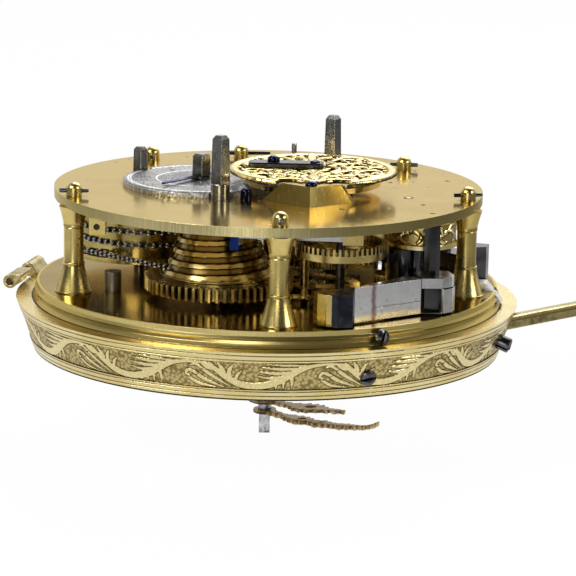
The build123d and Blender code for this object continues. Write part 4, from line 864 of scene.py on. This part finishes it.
def make_chain():
    """Each leaf is a waisted plate, and rivets stand a little proud on both sides."""
    pitch, eye, waist, arc = 1.42, 0.40, 0.20, 8
    outline = []
    for side in (1, -1):
        for k in range(arc + 1):
            a = -side * pi / 2 + pi * k / arc
            outline.append((side * pitch / 2 + eye * cos(a), eye * sin(a)))
        outline.append((0.0, side * waist))
    n = len(outline)
    # Painted highlight on the round ends of each leaf and painted shade at its waist
    leaf_highlight_and_shade = [0.95 if abs(u) > 0.72 else (0.1 if abs(u) > 0.5 else -0.6) for u, _ in outline]
    parts, values = [], []
    for i, (x, y, z, turn) in enumerate(link_path(pitch)):
        for level in ((-0.30, 0.30) if i % 2 == 0 else (0.0,)):
            points = [(*around((x, y), u, turn, v), z + level + dz) for dz in (-0.13, 0.13)
                      for u, v in outline]
            parts.append((points, ends(2, n) + tube(2, n)))
            values += leaf_highlight_and_shade * 2
        if i % 2 == 0:
            for side in (-pitch / 2, pitch / 2):
                half = [(near_axis, 0.55), (0.17, 0.52), (0.2, 0.42)]
                rivet = lathe([(r, z - h) for r, h in half] + [(r, z + h) for r, h in half[::-1]],
                              around((x, y), side, turn), 8)
                parts.append(rivet)
                values += [0.5] * len(rivet[0])
    mark(build("linked_chain", *join(parts), mat_chain, "frame", ["chain"], "dark_steel", angle=40), values)


make_chain()


# Numerals and minute marks engraved round the regulator disc, filled with dark wax
def make_numerals():
    level, outer, inner, keep_clear = disc_face + 0.012, 14.2, 13.5, 3.4
    parts = []
    for i in range(60):
        bearing, long = 6 * i, i % 10 == 0
        near, half = (12.9, 0.16) if long else (inner, 0.10)
        corners = ((near, -half), (outer, -half), (outer, half), (near, half))
        at = around(regulator_at, inner, bearing)
        if all(hypot(at[0] - x, at[1] - y) >= keep_clear for x, y in (fusee_at, barrel_at)):
            points = [(*around(regulator_at, r, bearing, side), level) for r, side in corners]
            parts.append((points, [(0, 1, 2, 3)]))
    build("disc_marks", *join(parts), mat_wax, "frame", slot="silvered_brass", smooth=False)
    for i in range(1, 7):
        a = tau * (i + 0.35) / 6.7
        curve = bpy.data.curves.new(f"numeral_{i}", "FONT")
        curve.body = str(i)
        curve.size = 3.3 * MM
        curve.align_x, curve.align_y = "CENTER", "CENTER"
        curve.extrude = 0.008 * MM
        item = bpy.data.objects.new(f"disc_numeral_{i}", curve)
        scene.collection.objects.link(item)
        item.location = [v * MM for v in (*around(regulator_at, 11.1, degrees(a)), level)]
        item.rotation_euler = (0, 0, a - pi / 2)
        curve.materials.append(mat_wax)
        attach(item, "frame")


make_numerals()


# Slotted and domed screws
def screw(centre, axis, radius, tall, slot_turn):
    """A slotted screw head: two halves that rise along the screw's axis, and the slot's floor."""
    half_slot, dome, deep, steps = 0.21, 0.25, 0.5, 16
    centre, axis = np.array(centre), np.array(axis)
    side = np.cross(axis, (0, 0, 1))
    side /= np.linalg.norm(side)
    u_dir = cos(radians(slot_turn)) * side + sin(radians(slot_turn)) * np.cross(axis, side)
    v_dir = np.cross(axis, u_dir)
    opening = asin(half_slot / radius)
    arc = [pi - opening - k * (pi - 2 * opening) / steps for k in range(steps + 1)]
    rings = ((0.0, 1.0), (tall - 0.25, 1.0), (tall - 0.08, 0.95), (tall, 0.84))
    n, last = len(arc), (len(rings) - 1) * len(arc)
    parts = []
    for sign in (-1, 1):
        points = []
        for h, share in rings:
            for a in arc:
                u, v = radius * cos(a) * share, half_slot + (radius * sin(a) - half_slot) * share
                points.append(tuple(centre + u_dir * u + v_dir * v * sign + axis * h))
        points.append(tuple(centre + v_dir * sign * (half_slot + 0.3 * radius) + axis * (tall + dome)))
        faces = tube(len(rings), n) + [(last + k, last + (k + 1) % n, last + n) for k in range(n)]
        parts.append((points, [face[::-1] for face in faces] if sign > 0 else faces))
    floor = [tuple(centre + u_dir * u * radius * 0.9 + v_dir * v * half_slot + axis * (tall - deep))
             for u, v in ((-1, -1), (1, -1), (1, 1), (-1, 1))]
    return join(parts + [(floor, [(0, 1, 2, 3)])])


def make_screws():
    wall_tilt = atan2(ring_radius - ring_low_radius, ring_top - ring_low)
    heads = []
    # Bearing, height, distance from the middle, tilt, radius, height of the head, turn of the slot
    for bearing, z, reach, tilt, radius, tall, slot_turn in (
        (-18.0, 23.5, ring_wall(23.5) - frieze_sink, wall_tilt, 1.5, 2.55, 20),
        (-66.0, 22.9, ring_wall(22.9) - frieze_sink, wall_tilt, 1.6, 0.85, 8),
        (-62.0, 30.2, 47.15, 0.0, 1.4, 0.9, 75),
    ):
        out = (*around((0, 0), cos(tilt), bearing), -sin(tilt))
        heads.append(screw((*around((0, 0), reach, bearing), z), out, radius, tall, slot_turn))
    build("slotted_screws", *join(heads), mat_dark, "frame", ["edge_screws"], "dark_steel", angle=32)
    dome, bar_face = 0.72, 56.5
    domes = []
    for x, y, low, radius, tall in ((0.9, -2.5, bar_face, 1.25, 0.55), (8.4, -20.0, 54.86, 1.2, 0.3),
                                    (-4.3, -15.9, top_face, 1.1, 1.9)):
        outline = [(near_axis, low), (radius * 0.96, low), (radius, low + 0.12), (radius, low + tall)]
        outline += [(radius * cos(k / 7 * pi / 2), low + tall + dome * sin(k / 7 * pi / 2))
                    for k in range(1, 7)]
        domes.append(lathe(outline + [(near_axis, low + tall + dome)], (x, y), 28))
    for at, wide, shoulder, narrow, bevel, tall in ((balance_at, 0.62, 0.25, 0.3, 0.45, 0.5),
                                                    ((9.4, -2.5), 0.75, 0.22, 0.4, 0.4, 0.45)):
        outline = [(near_axis, 0), (wide, 0), (wide, shoulder), (narrow, bevel), (near_axis, tall)]
        domes.append(lathe([(r, bar_face + h) for r, h in outline], at, 20))
    build("blued_screws", *join(domes), mat_blued, "frame", ["cock_screws"], "blued_steel", angle=40)


make_screws()


# Winding and setting squares: collars, tapering flats, bevelled tips and bright strips on the edges as
# painted highlight
def make_squares():
    pivot = [(near_axis, plate_under), (0.5, plate_under), (0.5, 31.9)]
    collar = [(2.1, 48.95), (2.1, 51.0)]
    fusee_body = pivot + [(1.5, 31.9), (1.5, 48.95)] + collar
    fusee_body += [(1.88, 51.0), (1.88, 53.9), (1.78, 54.05), (1.0, 54.1), (near_axis, 54.1)]
    barrel_body = pivot + [(1.2, 31.9), (1.2, 34.7), (2.0, 34.7),
                           (2.0, 48.95)] + collar + [(near_axis, 51.0)]
    strike_body = pivot + [(1.5, 31.9), (1.5, 48.95)] + collar + [(near_axis, 51.0)]
    disc_body = [(near_axis, top_face), (1.3, top_face), (1.3, 52.2), (1.9, 52.2), (1.9, 52.6),
                 (near_axis, 52.6)]
    # Names, place, turn, turned body, (height, flat) of the square, and the level where its painted highlight
    # strips start
    for name, highlight_name, node, body, at, turn, outline, rings, highlight_low in (
        ("fusee_square", "fusee_highlight_strips", "fusee_arbor", "fusee", fusee_at, -38, fusee_body,
         [(54.0, 1.34), (62.9, 1.16), (63.6, 0.72)], 54.1),
        ("barrel_square", "barrel_highlight_strips", "barrel_arbor", "barrel_arbor", barrel_at, -40, barrel_body,
         [(51.0, 1.04), (56.1, 0.96), (56.65, 0.62)], 51.0),
        ("strike_square", "strike_highlight_strips", "strike_arbor", "strike", strike_at, -34, strike_body,
         [(51.0, 1.30), (62.5, 1.12), (63.25, 0.7)], 51.0),
        ("regulator_bar", "regulator_highlight_strips", "regulator_square", "regulator", regulator_at, -40, disc_body,
         [(52.6, 1.30), (56.7, 1.24), (57.15, 0.9)], 52.6),
    ):
        parts = [lathe(outline, at, 40), prism(at, turn, rings)]
        build(name, *join(parts), mat_steel, body, [node], "dark_steel", angle=20)
        # Bright strips on the four corners: painted highlight
        strips = []
        for k in range(4):
            points = []
            for z, flat in ((highlight_low, rings[0][1]), rings[1]):
                for lift, lean in ((0.02, 0.0), (-0.10, 0.17), (-0.10, -0.17)):
                    points.append((*around(at, flat * sqrt(2) + lift, turn + 45 + 90 * k, lean), z))
            strips.append((points, [(0, 2, 1), (3, 4, 5), (0, 1, 4, 3), (1, 2, 5, 4), (2, 0, 3, 5)]))
        build(highlight_name, *join(strips), mat_bright, body, slot="dark_steel", smooth=False)


make_squares()


# Regulator hand: a slim ridged pointer round the square
def make_pointer():
    bearing, base = 235, 52.66
    stations = [(-2.6, 0.25), (-2.0, 1.0), (0.0, 2.05), (1.9, 1.1), (3.0, 0.72), (8.0, 0.48), (12.4, 0.22),
                (13.05, 0.04)]
    points = []
    for along, half in stations:
        ridge = 0.42 if half < 1.9 else 0.3
        for side, lift in ((-half, 0.0), (-half, 0.18), (0.0, ridge), (half, 0.18), (half, 0.0)):
            points.append((*around(regulator_at, along, bearing, side), base + lift))
    faces = [face[::-1] for face in tube(len(stations), 5) + ends(len(stations), 5)]
    build("regulator_pointer", points, faces, mat_blued, "regulator", ["regulator_hand"], "blued_steel",
          angle=20)


make_pointer()

# Cap of the cock's foot
cap = [(2.4, -17.1), (8.2, -21.2), (14.3, -17.6), (14.2, -16.6), (8.6, -17.6), (2.9, -16.3)]
build("foot_cap", *slab(cap, cock_low, cock_low + 0.26), mat_foot, "frame", slot="gilt_brass", smooth=False)


# Hammer: round-cornered steel head with a dark end, a hub with a recess and an eight-sided arbor
def make_hammer():
    low, high, neck = 32.2, 39.1, 48.7
    head = [(29.9, -30.2), (16.9, -39.6), (19.3, -36.1), (27.6, -27.0)]
    end = [(16.86, -39.7), (16.6, -43.2), (13.6, -43.9), (12.6, -43.4), (15.0, -37.4), (19.2, -36.2)]
    tip = [(13.4, -43.4), (11.6, -42.7), (9.9, -41.2), (9.2, -39.6), (11.2, -37.0), (15.2, -36.6)]
    hub = [(30.0, -30.1), (34.0, -29.8), (35.9, -28.0), (36.4, -26.4), (35.4, -22.8), (31.4, -21.6),
           (28.6, -24.6)]
    recess = [(30.6, -28.6), (33.8, -28.3), (35.4, -26.4), (34.6, -22.8), (31.4, -21.8), (28.8, -24.6)]
    right = [(33.9, -29.7), (34.3, -29.9), (36.0, -28.2), (36.6, -26.4), (34.9, -25.0), (33.4, -28.4)]
    hub_parts = [slab(hub, high - 2.0, high), slab(hub, low - 0.1, low + 0.12),
                 slab(right, low, high - 2.2)]
    upper = [(near_axis, neck), (0.9, neck), (0.9, 48.86), (0.5, 48.9), (0.5, 50.8), (near_axis, 50.8)]
    lower = [(near_axis, plate_under), (0.5, plate_under), (0.5, 32.3), (near_axis, 32.3)]
    arbor = [prism(hammer_at, 10, [(high - 0.1, 1.56), (neck, 1.56)], 8), lathe(upper, hammer_at, 20),
             lathe(lower, hammer_at, 20)]
    steel = {"slot": "bright_steel", "smooth": False}
    build("hammer_head", *slab(head, low, high - 0.1), mat_hammer, "hammer", ["hammer"], **steel)
    build("hammer_end", *slab(end, low - 0.05, high - 0.55), finish_of["blue-black steel"], "hammer",
          **steel)
    build("hammer_tip", *slab(tip, low, high - 0.9), mat_turned, "hammer", ["hammer_tail"], smooth=False)
    build("hammer_hub", *join(hub_parts), finish_of["ground steel"], "hammer", **steel)
    build("hammer_recess", *slab(recess, low + 0.1, high - 1.9), mat_black, "hammer", **steel)
    build("hammer_arbor", *join(arbor), mat_black, "hammer", slot="bright_steel", angle=15)


make_hammer()


# Foliage worked round the repeat drum
def make_drum():
    high, tall, radius, columns, rows, repeats = 48.75, 5.6, 6.6, 360, 30, 5
    per_repeat, period, drawn_length = columns // repeats, tau * radius / repeats, 8.6
    strokes = [[(0, 0.9, 0.3), (2.2, 2.6, 0.4), (4.4, 3.3, 0.4), (6.0, 2.0, 0.35), (5.2, 1.0, 0.25)],
               [(2.0, 2.4, 0.3), (1.6, 3.8, 0.3), (0.4, 4.3, 0.15)],
               [(3.6, 3.2, 0.3), (4.8, 4.4, 0.25), (6.2, 4.2, 0.12)],
               [(5.9, 2.2, 0.3), (7.2, 1.4, 0.3), (8.6, 1.0, 0.3)],
               [(6.6, 1.7, 0.3), (7.4, 3.0, 0.3), (8.4, 3.9, 0.12)],
               [(1.0, 1.6, 0.3), (2.4, 0.9, 0.25), (3.4, 1.1, 0.12)]]
    stretched = [[(x * period / drawn_length, 0.45 + y * 0.98, w) for x, y, w in stroke]
                 for stroke in strokes]
    u = np.linspace(0, period, per_repeat, endpoint=False)
    v = np.linspace(0, tall, rows)
    height, cut = relief_grid(stretched, *np.meshgrid(u, v, indexing="ij"), period, veins=False)
    foot, head = v < 0.9, v > tall - 0.5
    points, values = [], []
    for i in range(columns):
        h, c = height[i % per_repeat], cut[i % per_repeat]
        lift = np.where(foot, 0.30, np.where(head, 0.14, -0.05 + 0.16 * h - 0.08 * c))
        for r, z in zip(radius + lift, high - tall + v):
            points.append((*around(repeat_at, r, 360 * i / columns), z))
        # Painted light: the foot and head bands and the raised foliage light, its cuts dark as shade
        values += np.where(foot | head, 0.8, h - c).tolist()
    faces = turned(columns, rows) + turned_ends(columns, rows)
    mark(build("worked_drum", points, faces, mat_drum, "repeat", ["repeat_barrel"], "gilt_brass",
               angle=50), values)


make_drum()


# Chased hands that follow the dial, the long one with a lifted tip
def make_hand(name, node, body, bearing, stations, low, thick, reach, holes, hub, lift_tip):
    step = 0.14
    alongs, halves = zip(*stations)
    half = max(max(halves) + 0.2, hub)
    gu, gv = np.meshgrid(np.arange(-hub, reach + step, step), np.arange(-half, half + step, step),
                         indexing="ij")
    width = np.interp(gu, alongs, halves, left=0, right=0)
    width = width * (1 + 0.16 * np.sin(gu * 3.3)) + 0.10 * np.sin(gu * 7.1)
    solid = (np.abs(gv) <= width) | (np.hypot(gu, gv) < hub)
    for along, size in holes:
        solid &= np.hypot(gu - along, gv) > size
    share = np.abs(gv) / np.maximum(width, 0.2)
    swirl = np.sin(gu * 2.6 + 1.8 * np.sin(gv * 2.2)) * np.sin(gv * 3.1 + 0.8 * np.sin(gu * 1.7))
    worked = (0.55 - 0.5 * share**2) + 0.5 * swirl
    used, faces = sheet(solid)
    u, v, tone = gu[used], gv[used], worked[used]
    radius = np.hypot(u, v)
    rise = dome_radius - np.sqrt(dome_radius**2 - radius**2)
    tip = lift_tip * np.clip((u - reach * 0.86) / (reach * 0.14), 0, 1) ** 2
    px, py = around((0, 0), u, bearing, v)
    base = low + rise + tip
    front = base - 0.16 - 0.34 * np.clip(tone, -0.3, 1.0) * (radius >= hub * 0.9)
    points = np.concatenate([np.stack([px, py, level], 1) for level in (front, base + thick - 0.1)])
    turned_over = [(face[0], *face[:0:-1]) for face in faces]
    item = build(name, points.tolist(), turned_over, mat_hand, body, [node], "gilt_brass", angle=60)
    # Painted highlight along the midline and in the chased pattern, painted shade towards the edges and in
    # its hollows
    mark(item, list(np.clip(tone + 0.2, -0.5, 1)) + [0.25] * len(front))
    soften(item, 1)


minute_stations = [(0, 1.2), (4, 1.0), (6, 0.75), (8, 1.5), (11, 2.2), (13, 2.0), (15, 1.1), (17.5, 1.9),
                   (20, 1.3),
                   (22, 1.0), (25, 1.45), (27.5, 0.9), (29, 0.6), (31, 0.5), (35.8, 0.25)]
hour_stations = [(0, 1.4), (5, 1.0), (7, 1.2), (10, 2.7), (13, 3.0), (15, 2.0), (17, 1.1), (19, 1.0),
                 (21.8, 0.2)]
make_hand("chased_minute_hand", "minute_hand", "centre", -51.0, minute_stations, low=4.2, thick=0.75,
          reach=36.0,
          holes=((12.2, 0.7), (18.2, 0.5)), hub=2.4, lift_tip=0.9)
make_hand("chased_hour_hand", "hour_hand", "hour", -42.0, hour_stations, low=6.5, thick=0.6, reach=22.0,
          holes=((12.4, 1.2),), hub=3.4, lift_tip=0.0)


# Holes and screw points in the two plates
def make_marks():
    top_holes = [(30.3, 21.0, 0.45), (29.2, 15.7, 0.5), (29.4, 8.2, 0.5), (25.3, 0.9, 0.5),
                 (32.1, 1.7, 0.5),
                 (32.0, -23.2, 0.45), (23.6, -20.4, 0.4), (36.0, 19.2, 0.5), (14.9, -25.0, 0.55),
                 (6.7, -26.8, 0.5),
                 (-17.6, 31.8, 0.5), (-32.0, 23.6, 0.4), (-29.5, 28.2, 0.4), (-5.3, -38.3, 0.35),
                 (-3.1, -20.9, 0.35), (9.8, -29.6, 0.3), (-36.5, 3.0, 0.35), (20.5, 34.0, 0.4),
                 (2.0, 38.0, 0.4)]
    low_holes = [(-10.2, -39.1, 0.4), (-6.3, -40.2, 0.4), (-27.9, -34.3, 0.5), (22.0, -38.0, 0.4),
                 (-40.0, 5.0, 0.4)]
    # The dark discs in the holes are painted shade
    dark, light = [], []
    # Each outline is (share of the hole's radius, height over the plate)
    for holes, face, inner, rim in (
        (top_holes, top_face, ((0.80, 0.012), (0.84, 0.005)),
         ((0.76, 0.008), (0.86, 0.015), (0.94, 0.003))),
        (low_holes, plate_face, ((0.75, 0.012), (0.78, 0.005)),
         ((0.76, 0.014), (1.0, 0.035), (1.12, 0.005))),
    ):
        for x, y, r in holes:
            bottom = [(near_axis, face + inner[0][1])]
            dark.append(lathe(bottom + [(r * share, face + lift) for share, lift in inner], (x, y), 16))
            light.append(lathe([(r * share, face + lift) for share, lift in rim], (x, y), 16))
    point = (27.8, -9.3)
    light.append(lathe([(near_axis, 50.97), (0.45, 50.96), (0.55, 50.905)], point, 20))
    # A dark ring round the screw point: painted shade
    dark.append(lathe([(0.5, 50.905), (0.62, 50.95), (0.98, 50.95), (1.05, 50.905)], point, 20))
    build("plate_holes", *join(dark), mat_hole, "frame", slot="bright_brass", smooth=False)
    build("hole_rims", *join(light), mat_turned, "frame", slot="bright_brass")
    tip = [(near_axis, top_face), (0.55, top_face), (0.55, 53.4), (0.4, 53.8), (near_axis, 53.9)]
    build("arbor_tip", *lathe(tip, (5.0, 36.0), 16), mat_steel, "frame", slot="dark_steel")
    # A dark disc painted as shade in the block's eye
    eye, eye_faces = lathe([(near_axis, 0.0), (0.5, 0.0), (0.62, 0.06), (near_axis, 0.0)], steps=20)
    eye = [(-32.9 + x, -25.62 - z, 47.0 + y) for x, y, z in eye]
    build("block_eye", eye, eye_faces, mat_hole, "frame", slot="bright_brass", smooth=False)


make_marks()

# Blued end of the fusee stop iron
nose = slab([(-5.45, -26.85), (-4.65, -25.35), (-6.65, -24.95), (-7.05, -26.45)], 43.2, 47.75)
build("blued_nose", *nose, finish_of["blue temper"], "stop_iron", slot="blued_steel", smooth=False)


# Great wheel with upright teeth and open gaps
def toothed(at, teeth, root, tip, low, high, share):
    """A toothed ring; share is how much of the pitch each tooth takes."""
    per_tooth, ring_wide, shoulder = 6, 1.6, 0.35
    half = degrees(share * pi / teeth)
    tooth = [(root, -half * 1.08), (tip - shoulder, -half), (tip, -half * 0.62), (tip, half * 0.62),
             (tip - shoulder, half), (root, half * 1.08)]
    outline = [around(at, r, 360 * i / teeth + side) for i in range(teeth) for r, side in tooth]
    hub = [around(at, root - ring_wide, 360 * i / teeth) for i in range(teeth)]
    n = len(outline)
    points = [(x, y, z) for loop in (outline, hub) for z in (low, high) for x, y in loop]
    faces = tube(2, n)
    hub_low, hub_high = 2 * n, 2 * n + teeth
    for i in range(teeth):
        j = (i + 1) % teeth
        for start, lift in ((hub_low, 0), (hub_high, n)):
            loop = [start + i] + [lift + per_tooth * i + k for k in range(per_tooth)]
            gap = [start + i, lift + per_tooth * i + per_tooth - 1, lift + per_tooth * j, start + j]
            faces += [tuple(face) if lift else tuple(reversed(face)) for face in (loop, gap)]
        faces.append((hub_low + j, hub_low + i, hub_high + i, hub_high + j))
    return points, faces


wheel_parts = [toothed(fusee_at, 60, 13.2, 14.75, 33.2, 35.8, 0.52)]
for disc in ([(1.5, 33.9), (11.7, 33.9), (11.7, 33.4), (1.5, 33.4)],
             [(1.52, 36.0), (11.5, 36.0), (11.5, 33.8), (1.52, 33.8)],
             [(1.52, 36.2), (11.35, 36.2), (11.7, 36.3), (11.7, 36.45), (1.52, 36.45)]):
    wheel_parts.append(lathe(disc, fusee_at, 60))
build("toothed_great_wheel", *join(wheel_parts), mat_wheel, "fusee", ["great_wheel"], angle=25)

# Dark rings as painted shadow in the joints between the ring, the plate's moulding and the dial
shadow_joint_parts = [lathe(outline, steps=240) for outline in (
    [(46.5, 18.93), (47.2, 18.93), (47.12, 18.58), (46.4, 18.5)], [(47.18, 28.63), (47.5, 28.63)])]
build("shadow_joints", *join(shadow_joint_parts), mat_hole, "frame", slot="gilt_brass")


# Floor, room light and lamps
def make_floor():
    half, level = 3.0, -0.0003
    mesh = bpy.data.meshes.new("floor")
    mesh.from_pydata([(x * half, y * half, level) for x, y in ((-1, -1), (1, -1), (1, 1), (-1, 1))], [],
                     [(0, 1, 2, 3)])
    floor = bpy.data.objects.new("floor", mesh)
    scene.collection.objects.link(floor)
    s = Shade("pale floor")
    s.finish(s.blend(s.noise(3, 3), (0.86, 0.86, 0.86), (0.84, 0.84, 0.845)), 0.75, None,
             {"Metallic": 0.0, "Specular IOR Level": 0.2})
    # The floor glows: seen directly it is evenly white, and seen in metal or glass its glow is painted light,
    # white near the object and dim in front, at the sides and on the right
    ahead = s.ramp(s.y, -0.19, -0.12, 0.30, 0.86)
    aside = s.ramp(s.away(s.x, 0.0), 0.20, 0.34, 1.0, 0.10)
    right = s.ramp(s.x, 0.05, 0.20, 1.0, 0.30)
    path = s.node("ShaderNodeLightPath").outputs
    camera_ray = path["Is Camera Ray"]
    mirrored = s.math("MAXIMUM", path["Is Glossy Ray"], path["Is Transmission Ray"])
    strength = s.math("MAXIMUM", camera_ray, s.times(s.times(ahead, aside), right))
    glow = s.node("ShaderNodeEmission", (1, 1, 1, 1), strength)
    share = s.math("MAXIMUM", s.times(camera_ray, 0.97), s.times(mirrored, 0.9))
    mix = s.node("ShaderNodeMixShader", share, s.bsdf.outputs[0], glow.outputs[0])
    s.put(s.out.inputs[0], mix.outputs[0])
    mesh.materials.append(s.material)


def make_room():
    """A room that is white behind and low, dim at the front and overhead, and white to the camera."""
    world = bpy.data.worlds.new("studio")
    world.use_nodes = True
    scene.world = world
    w = Nodes(world.node_tree)
    _, depth, height = w.node("ShaderNodeSeparateXYZ",
                              w.node("ShaderNodeTexCoord").outputs["Generated"]).outputs
    strength = w.times(w.ramp(depth, -0.15, 0.55, 0.05, 0.80), w.ramp(height, 0.30, 0.80, 1.0, 0.50))
    room = w.node("ShaderNodeBackground", (1.0, 0.985, 0.96, 1), strength)
    white = w.node("ShaderNodeBackground", (1, 1, 1, 1))
    camera_ray = w.node("ShaderNodeLightPath").outputs["Is Camera Ray"]
    mix = w.node("ShaderNodeMixShader", camera_ray, room.outputs[0], white.outputs[0])
    w.node("ShaderNodeOutputWorld", mix.outputs[0])


def make_lamps():
    for name, place, size, power, aim in (
        ("key", (-0.42, -0.38, 0.50), 0.34, 4.2, (-0.02, -0.05, 0.03)),
        ("fill", (0.60, -0.30, 0.35), 0.30, 2.0, (0, 0, 0.035)),
        ("back", (0.15, 0.55, 0.60), 0.60, 4.0, (0, 0, 0.045)),
        ("low", (-0.12, -0.60, 0.10), 0.22, 0.5, (0, 0, 0.03)),
    ):
        data = bpy.data.lights.new(name, "AREA")
        data.shape, data.size, data.energy = "SQUARE", size, power
        lamp = bpy.data.objects.new(name, data)
        scene.collection.objects.link(lamp)
        lamp.location = place
        lamp.rotation_euler = (Vector(aim) - Vector(place)).to_track_quat("-Z", "Y").to_euler()


make_floor()
make_room()
make_lamps()
